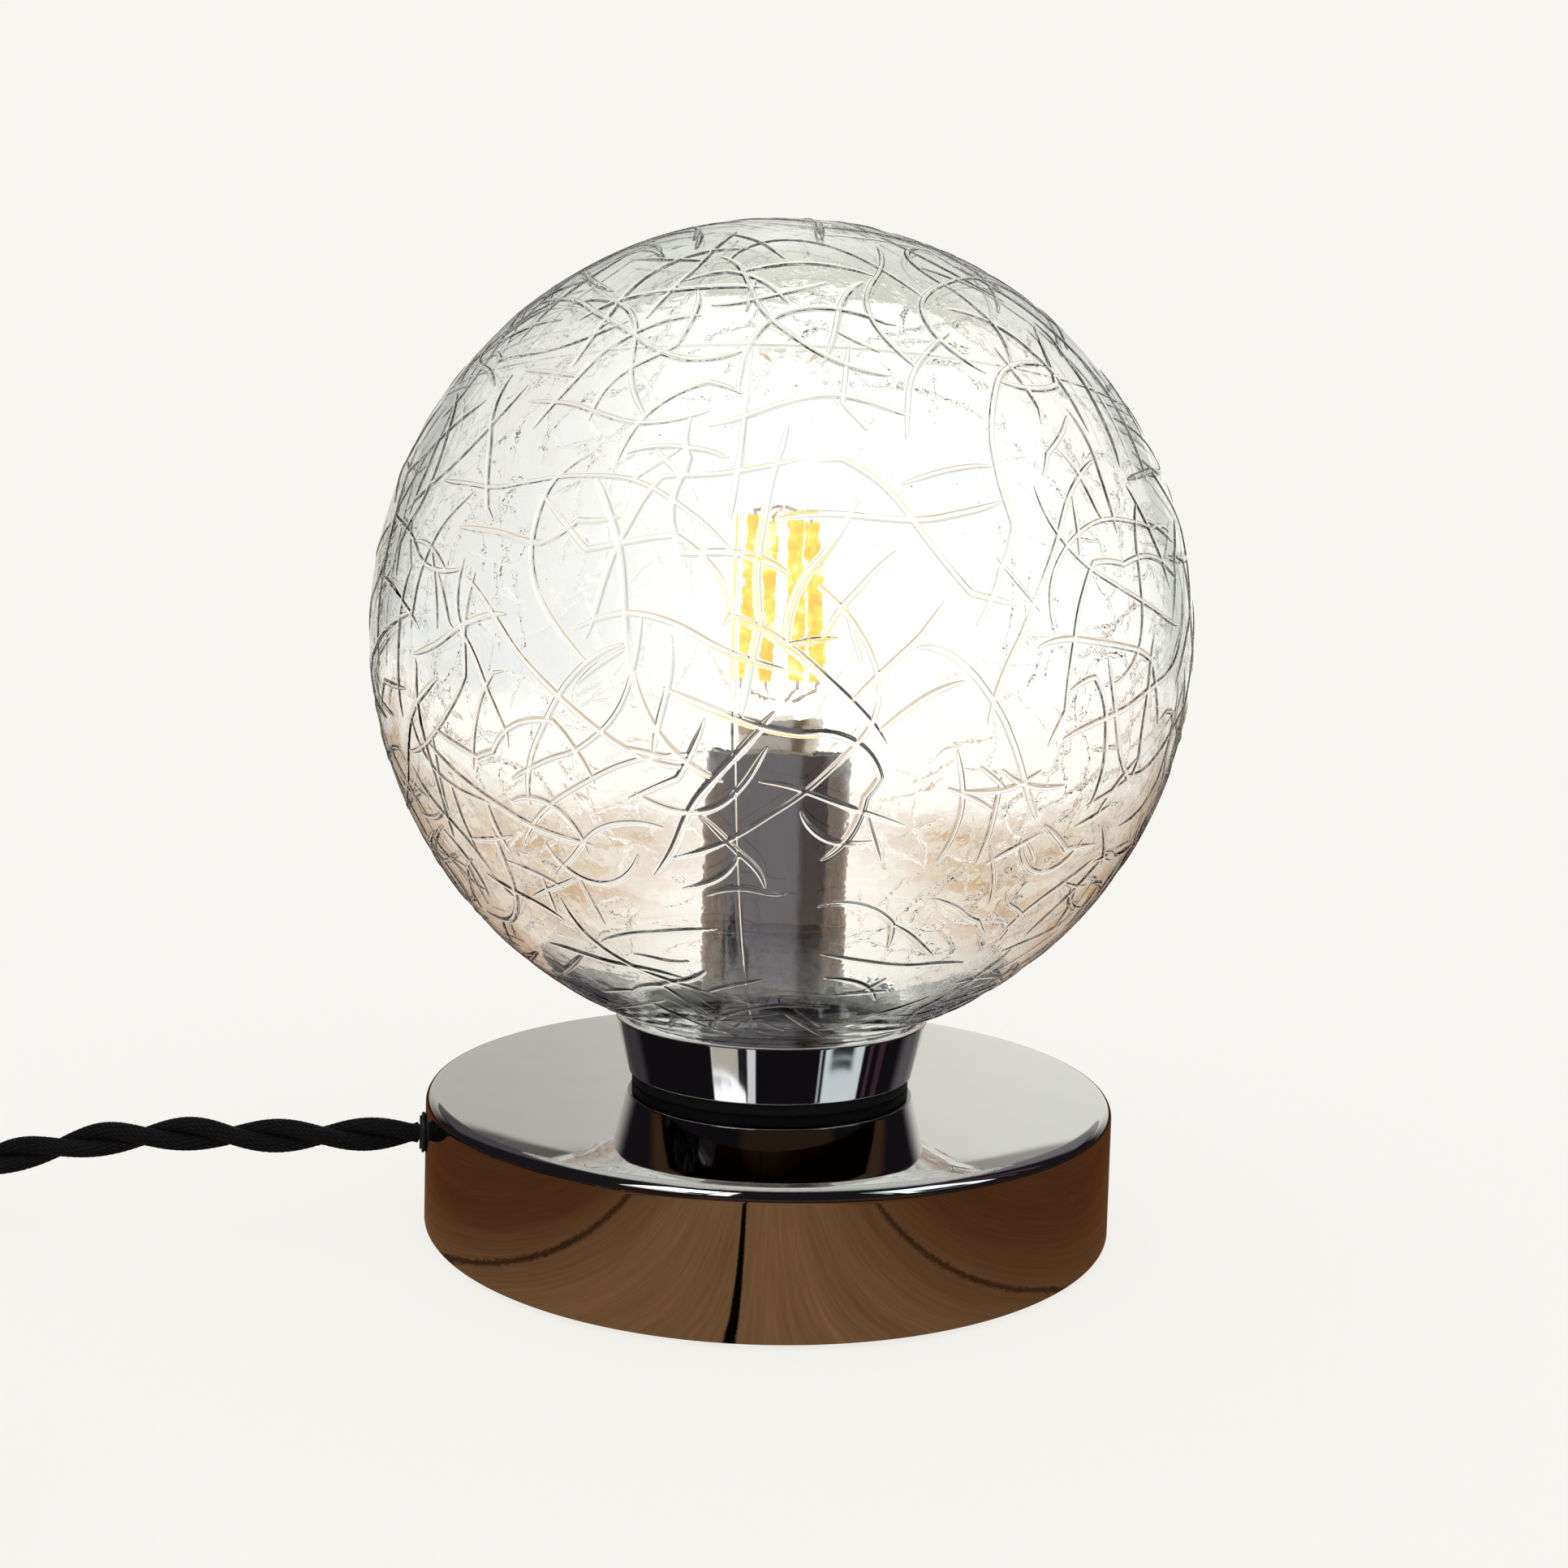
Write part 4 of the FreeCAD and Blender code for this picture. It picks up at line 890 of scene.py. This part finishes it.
# ------------------------------------------------------------------ finishes on the CAD pieces that stay
finish_of = {
    "base_weight": "cast_iron", "bottom_plate": "zinc_steel", "felt_pad": "felt", "base_pillars": "zinc_steel", "base_screws": "zinc_steel",
    "cord_grommet": "rubber", "cord_clamp_base": "black_plastic", "cord_clamp_cap": "black_plastic", "cord_clamp_screws": "zinc_steel",
    "cord_inner": "black_textile_solid", "threaded_nipple": "zinc_steel", "lower_nut": "zinc_steel", "lock_washer": "zinc_steel",
    "collar_spacer": "black_plastic", "upper_nut": "zinc_steel", "neck_gasket": "gasket", "lampholder_base": "holder_plastic",
    "lampholder_body": "holder_plastic", "screw_shell": "brass", "centre_contact": "brass", "terminals": "brass", "terminal_screws": "zinc_steel",
    "core_live": "core_brown", "core_neutral": "core_blue", "bulb_tip_contact": "nickel", "bulb_insulator": "black_gloss", "bulb_cap": "nickel",
    "bulb_glass": "bulb_glass", "bulb_stem": "bulb_glass", "led_filaments": "filament", "filament_leads": "nickel",
    "switch_lower": "black_plastic", "switch_upper": "black_plastic", "switch_screws": "zinc_steel", "switch_rocker": "black_gloss",
    "switch_contacts": "brass", "plug_body": "black_plastic", "plug_pins": "nickel", "plug_boot": "rubber", "cord_tie": "tie_fabric",
}
M["black_textile_solid"] = plastic("black_textile_solid", (0.014, 0.014, 0.015), 0.8, 0.7, 1700.0)
for name, finish in finish_of.items():
    ob = nodes[name]
    ob.data.materials.clear()
    ob.data.materials.append(M[finish])
cord_lead.data.materials.append(M["black_textile"])
cord_main.data.materials.append(M["black_textile"])


# ------------------------------------------------------------------ studio
def only(ob, camera=False, diffuse=False, glossy=False, transmission=False, shadow=False):
    ob.visible_camera = camera
    ob.visible_diffuse = diffuse
    ob.visible_glossy = glossy
    ob.visible_transmission = transmission
    ob.visible_volume_scatter = False
    ob.visible_shadow = shadow


def disc(name, radius, z, rings=2):
    n = 96
    v, f = [(0.0, 0.0, z)], []
    for k in range(1, rings + 1):
        r = radius * k / rings
        for i in range(n):
            v.append((r * math.cos(2 * math.pi * i / n), r * math.sin(2 * math.pi * i / n), z))
    for i in range(n):
        f.append((0, 1 + i, 1 + (i + 1) % n))
    for k in range(1, rings):
        a, b = 1 + (k - 1) * n, 1 + k * n
        for i in range(n):
            j = (i + 1) % n
            f.append((a + i, b + i, b + j, a + j))
    return mesh_object(name, v, f, smooth=False)


PALE = (0.930, 0.922, 0.888)

mt, nt, out = new_material("studio_floor")
em = node(nt, "ShaderNodeEmission")
em.inputs["Color"].default_value = (*[c - 0.12 for c in PALE], 1.0)
em.inputs["Strength"].default_value = 1.0
df = node(nt, "ShaderNodeBsdfDiffuse")
df.inputs["Color"].default_value = (0.12, 0.12, 0.12, 1.0)
ad = node(nt, "ShaderNodeAddShader")
put(nt, em.outputs[0], ad.inputs[0])
put(nt, df.outputs[0], ad.inputs[1])
put(nt, ad.outputs[0], out.inputs["Surface"])
floor = disc("studio_floor", 9.0, -0.0003, 6)
floor.data.materials.append(mt)
only(floor, camera=True, diffuse=True, glossy=False, transmission=False, shadow=False)


def direction_parts(nt, vec):
    """How far a direction or place points to the picture's right, away from the camera, and up."""
    outs = []
    for axis in (view_r, view_f, Vector((0, 0, 1))):
        n = node(nt, "ShaderNodeVectorMath", operation="DOT_PRODUCT")
        put(nt, vec, n.inputs[0])
        n.inputs[1].default_value = axis
        outs.append(n.outputs["Value"])
    return outs


# the wooden top that the polished base mirrors, seen in reflections only
mt, nt, out = new_material("table_mirrored")
tc = node(nt, "ShaderNodeTexCoord")
u, v_, _ = direction_parts(nt, tc.outputs["Object"])
cx = node(nt, "ShaderNodeCombineXYZ")
put(nt, u, cx.inputs[0])
put(nt, calc(nt, "MULTIPLY", v_, 0.04), cx.inputs[1])
g1 = noise(nt, cx.outputs[0], 900.0, 5.0, 0.65)
g2 = noise(nt, cx.outputs[0], 110.0, 3.0, 0.5)
gg = calc(nt, "ADD", calc(nt, "MULTIPLY", g1, 0.6), calc(nt, "MULTIPLY", g2, 0.4))
wood = ramp(nt, gg, [(0.30, (0.190, 0.096, 0.041)), (0.5, (0.245, 0.127, 0.056)), (0.70, (0.310, 0.170, 0.078))])
# painted shade: the mirrored top turns darker and redder towards both sides
side_shade = calc(nt, "MAXIMUM", span(nt, u, -0.085, -0.030, 1.0, 0.0, "SMOOTHSTEP"), span(nt, u, 0.0, 0.09, 0.0, 1.0, "SMOOTHSTEP"))
mx = node(nt, "ShaderNodeMix", data_type="RGBA", blend_type="MULTIPLY")
mx.inputs["B"].default_value = (0.42, 0.30, 0.24, 1)
put(nt, side_shade, mx.inputs["Factor"])
put(nt, wood, mx.inputs["A"])
wood = mx.outputs["Result"]
ahead = calc(nt, "ADD", v_, 0.064)
ragged = calc(nt, "SUBTRACT", noise(nt, tc.outputs["Object"], 700.0, 4.0, 0.7), 0.5)
# three joints between the boards: a crisp one in the middle and a softer one on either side
for at, slope, w0, w1, rag, dark in ((-0.0048, 0.08, 0.0007, 0.0013, 0.0006, 1.0), (-0.0565, 0.10, 0.0005, 0.0022, 0.0045, 0.72), (0.0495, -0.02, 0.0004, 0.0020, 0.0045, 0.66)):
    off_ = calc(nt, "SUBTRACT", u, calc(nt, "ADD", calc(nt, "MULTIPLY", ahead, slope), at))
    off_ = calc(nt, "ADD", off_, calc(nt, "MULTIPLY", ragged, rag))
    mx = node(nt, "ShaderNodeMix", data_type="RGBA")
    mx.inputs["B"].default_value = (0.003, 0.002, 0.0015, 1)
    put(nt, span(nt, calc(nt, "ABSOLUTE", off_), w0, w1, dark, 0.0, "SMOOTHSTEP"), mx.inputs["Factor"])
    put(nt, wood, mx.inputs["A"])
    wood = mx.outputs["Result"]
em = node(nt, "ShaderNodeEmission")
put(nt, wood, em.inputs["Color"])
# painted shade: fainter in a reflection of a reflection, as between collar and base, and darker more than 0.165 m from
# the middle
once = node(nt, "ShaderNodeLightPath")
reach_ = node(nt, "ShaderNodeVectorMath", operation="LENGTH")
put(nt, tc.outputs["Object"], reach_.inputs[0])
put(nt, calc(nt, "MULTIPLY", span(nt, once.outputs["Glossy Depth"], 1.0, 2.0, 1.0, 0.14), span(nt, reach_.outputs["Value"], 0.165, 0.26, 1.0, 0.12)), em.inputs["Strength"])
put(nt, em.outputs[0], out.inputs["Surface"])
table_m = disc("table_mirrored", 0.75, -0.0001, 4)
table_m.data.materials.append(mt)
only(table_m, glossy=True)

# the same top as the light from the bulb makes it, seen through the glass only
mt, nt, out = new_material("table_through_glass")
tc = node(nt, "ShaderNodeTexCoord")
u, v_, _ = direction_parts(nt, tc.outputs["Object"])
g2 = noise(nt, tc.outputs["Object"], 16.0, 5.0, 0.62)
g3 = noise(nt, tc.outputs["Object"], 420.0, 2.0, 0.7)
g2 = calc(nt, "ADD", calc(nt, "SUBTRACT", g2, 0.085), calc(nt, "MULTIPLY", g3, 0.10))
beige = ramp(nt, g2, [(0.34, (0.62, 0.36, 0.17)), (0.44, (0.78, 0.58, 0.40)), (0.54, (0.88, 0.78, 0.64)), (0.68, (0.98, 0.94, 0.88))])
aside = span(nt, calc(nt, "ABSOLUTE", u), 0.03, 0.11, 0.25, 1.0, "SMOOTHSTEP")
away = span(nt, calc(nt, "ABSOLUTE", v_), 0.45, 1.05, 1.0, 0.0, "SMOOTHSTEP")
mx = node(nt, "ShaderNodeMix", data_type="RGBA")
mx.inputs["A"].default_value = (1.20, 1.18, 1.14, 1)
put(nt, calc(nt, "MULTIPLY", aside, away), mx.inputs["Factor"])
put(nt, beige, mx.inputs["B"])
beige = mx.outputs["Result"]
# in front of the lamp the top lies in the room's shade: grey, and dark brown to the right
about = calc(nt, "MULTIPLY", calc(nt, "ARCTAN2", u, calc(nt, "MULTIPLY", v_, -1.0)), 180 / math.pi)
shade = node(nt, "ShaderNodeMix", data_type="RGBA")
shade.inputs["A"].default_value = (0.64, 0.62, 0.645, 1)
shade.inputs["B"].default_value = (0.10, 0.06, 0.055, 1)
put(nt, span(nt, about, 30.0, 46.0, 0.0, 1.0, "SMOOTHSTEP"), shade.inputs["Factor"])
mx = node(nt, "ShaderNodeMix", data_type="RGBA")
put(nt, span(nt, v_, -0.06, 0.0, 1.0, 0.0, "SMOOTHSTEP"), mx.inputs["Factor"])
put(nt, beige, mx.inputs["A"])
put(nt, shade.outputs["Result"], mx.inputs["B"])
beige = mx.outputs["Result"]
em = node(nt, "ShaderNodeEmission")
put(nt, beige, em.inputs["Color"])
em.inputs["Strength"].default_value = 1.0
put(nt, em.outputs[0], out.inputs["Surface"])
table_t = disc("table_through_glass", 1.6, -0.0002, 4)
table_t.data.materials.append(mt)
only(table_t, transmission=True)

# surroundings: plain for the camera and for soft light, a room with two windows for reflections
world = bpy.data.worlds.new("studio")
scene.world = world
world.use_nodes = True
nt = world.node_tree
for n in list(nt.nodes):
    nt.nodes.remove(n)
out = node(nt, "ShaderNodeOutputWorld")
tc = node(nt, "ShaderNodeTexCoord")
dr_, df_, dz_ = direction_parts(nt, tc.outputs["Generated"])
azimuth = calc(nt, "MULTIPLY", calc(nt, "ARCTAN2", dr_, calc(nt, "MULTIPLY", df_, -1.0)), 180 / math.pi)   # 0 towards the camera's side, + to the right
elevation = calc(nt, "MULTIPLY", calc(nt, "ARCSINE", dz_), 180 / math.pi)


def window(a0, a1, e0, e1, soft_a=2.0, soft_e=2.0):
    x = calc(nt, "MULTIPLY", span(nt, azimuth, a0 - soft_a, a0 + soft_a, 0, 1, "SMOOTHSTEP"), span(nt, azimuth, a1 - soft_a, a1 + soft_a, 1, 0, "SMOOTHSTEP"))
    y = calc(nt, "MULTIPLY", span(nt, elevation, e0 - soft_e, e0 + soft_e, 0, 1, "SMOOTHSTEP"), span(nt, elevation, e1 - soft_e, e1 + soft_e, 1, 0, "SMOOTHSTEP"))
    return calc(nt, "MULTIPLY", x, y)


def over(below, colour, mask):
    n = node(nt, "ShaderNodeMix", data_type="RGBA")
    put(nt, mask, n.inputs["Factor"])
    if isinstance(below, tuple):
        n.inputs["A"].default_value = (*below, 1)
    else:
        put(nt, below, n.inputs["A"])
    if isinstance(colour, tuple):
        n.inputs["B"].default_value = (*colour, 1)
    else:
        put(nt, colour, n.inputs["B"])
    return n.outputs["Result"]


# reflections
far = span(nt, calc(nt, "ABSOLUTE", azimuth), 126.0, 156.0, 0.0, 1.0, "SMOOTHSTEP")
back = over((0.68, 0.655, 0.60), (1.03, 1.03, 0.96), span(nt, dr_, -0.22, 0.20, 0.0, 1.0, "SMOOTHSTEP"))
back = over(back, (0.155, 0.15, 0.128), calc(nt, "MULTIPLY", span(nt, elevation, 17.3, 18.4, 0.0, 1.0, "SMOOTHSTEP"), span(nt, dr_, -0.12, 0.02, 1.0, 0.68, "SMOOTHSTEP")))
back = over(back, (0.70, 0.70, 0.67), span(nt, elevation, 22.0, 27.0, 0.0, 1.0, "SMOOTHSTEP"))
room = over((0.016, 0.014, 0.017), back, far)
room = over(room, (0.10, 0.095, 0.11), window(-172, -122, 21.5, 70, 6, 1.5))
room = over(room, (0.24, 0.225, 0.245), window(124, 170, 21.5, 70, 8, 1.5))
room = over(room, (0.14, 0.07, 0.095), window(85.5, 89, 22, 60, 0.8, 2))
room = over(room, (0.11, 0.06, 0.08), window(95, 101, 22, 60, 1.2, 2))
room = over(room, (3.4, 3.45, 3.4), window(-49, -20.5, 31, 62, 0.8, 2.0))
room = over(room, (1.9, 1.95, 1.9), window(-19.2, -12.0, 31, 62, 0.8, 2.0))
slant = calc(nt, "SUBTRACT", calc(nt, "SUBTRACT", elevation, 39.5), calc(nt, "MULTIPLY", calc(nt, "ADD", azimuth, 48.0), 0.104))
room = over(room, (1.3, 1.24, 1.02), calc(nt, "MULTIPLY", window(-49, -27, 31, 62, 0.8, 2.0), span(nt, slant, -0.42, -0.30, 1.0, 0.0, "SMOOTHSTEP")))
room = over(room, (0.03, 0.03, 0.035), calc(nt, "MULTIPLY", window(-27, -19, 31, 62, 1.2, 2.0), span(nt, slant, -0.36, -0.26, 1.0, 0.0, "SMOOTHSTEP")))
room = over(room, (0.60, 0.63, 0.62), calc(nt, "MULTIPLY", window(-49, -33, 31, 62, 0.8, 2.0), span(nt, calc(nt, "ABSOLUTE", slant), 0.03, 0.10, 1.0, 0.0, "SMOOTHSTEP")))
room = over(room, (0.95, 1.0, 0.98), calc(nt, "MULTIPLY", window(-49, -42, 31, 62, 1.5, 2.0), calc(nt, "MULTIPLY", span(nt, slant, 0.0, 0.08, 0.0, 1.0), span(nt, slant, 0.26, 0.40, 1.0, 0.0))))
room = over(room, (1.75, 1.95, 1.95), window(46.0, 80.0, 26, 56, 1.2, 1.5))
room = over(room, (0.9, 1.0, 1.05), window(41.3, 43.4, 33, 56, 0.5, 1.5))
slant = calc(nt, "ADD", calc(nt, "SUBTRACT", elevation, 37.9), calc(nt, "MULTIPLY", calc(nt, "SUBTRACT", azimuth, 51.2), 0.128))
room = over(room, (0.04, 0.045, 0.045), calc(nt, "MULTIPLY", window(51, 71, 26, 56, 2.5, 1.5), span(nt, slant, 0.26, 0.38, 1.0, 0.0, "SMOOTHSTEP")))
room = over(room, (0.02, 0.02, 0.024), calc(nt, "MULTIPLY", window(51, 71, 26, 56, 3.5, 1.5), span(nt, calc(nt, "ABSOLUTE", calc(nt, "SUBTRACT", slant, 0.64)), 0.15, 0.28, 1.0, 0.0, "SMOOTHSTEP")))
room = over(room, (0.065, 0.04, 0.025), window(-20, 50, 4, 13, 5, 2.0))
under = span(nt, elevation, -1.0, 0.5, 1.0, 0.0)
room = over(room, (0.09, 0.05, 0.026), under)
# through the glass
side = span(nt, dr_, -0.26, -0.01, 0.0, 1.0, "SMOOTHSTEP")
facing = span(nt, df_, 0.0, 0.5, 0.0, 1.0)
wall = over((0.96, 0.965, 0.98), (1.26, 1.26, 1.24), side)
wall = over(wall, (0.64, 0.66, 0.63), span(nt, dr_, -0.58, -0.38, 1.0, 0.0, "SMOOTHSTEP"))
wall = over(wall, (0.78, 0.80, 0.77), span(nt, dr_, 0.40, 0.56, 0.0, 1.0, "SMOOTHSTEP"))
high = span(nt, elevation, 20.6, 21.3, 0.0, 1.0, "SMOOTHSTEP")
wall = over(wall, (0.60, 0.62, 0.53), calc(nt, "MULTIPLY", high, span(nt, calc(nt, "ABSOLUTE", dr_), 0.10, 0.32, 1.0, 0.35, "SMOOTHSTEP")))
wall = over(wall, (0.95, 0.97, 0.92), span(nt, elevation, 27.0, 33.0, 0.0, 1.0, "SMOOTHSTEP"))
wall = over(wall, (1.22, 1.20, 1.16), under)
near = over((0.66, 0.645, 0.665), (0.15, 0.10, 0.09), span(nt, azimuth, 32.0, 46.0, 0.0, 1.0, "SMOOTHSTEP"))
near = over(near, (0.92, 0.92, 0.89), span(nt, calc(nt, "ABSOLUTE", azimuth), 72.0, 100.0, 0.0, 1.0, "SMOOTHSTEP"))
wall = over(near, wall, facing)

lp = node(nt, "ShaderNodeLightPath")
colour = over((1.0, 1.0, 1.0), room, lp.outputs["Is Glossy Ray"])
colour = over(colour, wall, lp.outputs["Is Transmission Ray"])
colour = over(colour, PALE, lp.outputs["Is Camera Ray"])
bg = node(nt, "ShaderNodeBackground")
put(nt, colour, bg.inputs["Color"])
bg.inputs["Strength"].default_value = 1.0
put(nt, bg.outputs[0], out.inputs["Surface"])
world.cycles.sampling_method = "NONE"

scene.view_settings.view_transform = "Standard"
scene.view_settings.look = "None"
scene.view_settings.exposure = 0.0
scene.view_settings.gamma = 1.0
scene.cycles.use_denoising = True
scene.cycles.max_bounces = 28
scene.cycles.transmission_bounces = 24
scene.cycles.glossy_bounces = 8
scene.cycles.diffuse_bounces = 4
scene.cycles.transparent_max_bounces = 16
scene.cycles.caustics_reflective = True
scene.cycles.caustics_refractive = True
scene.cycles.sample_clamp_indirect = 8.0
scene.cycles.blur_glossy = 0.0
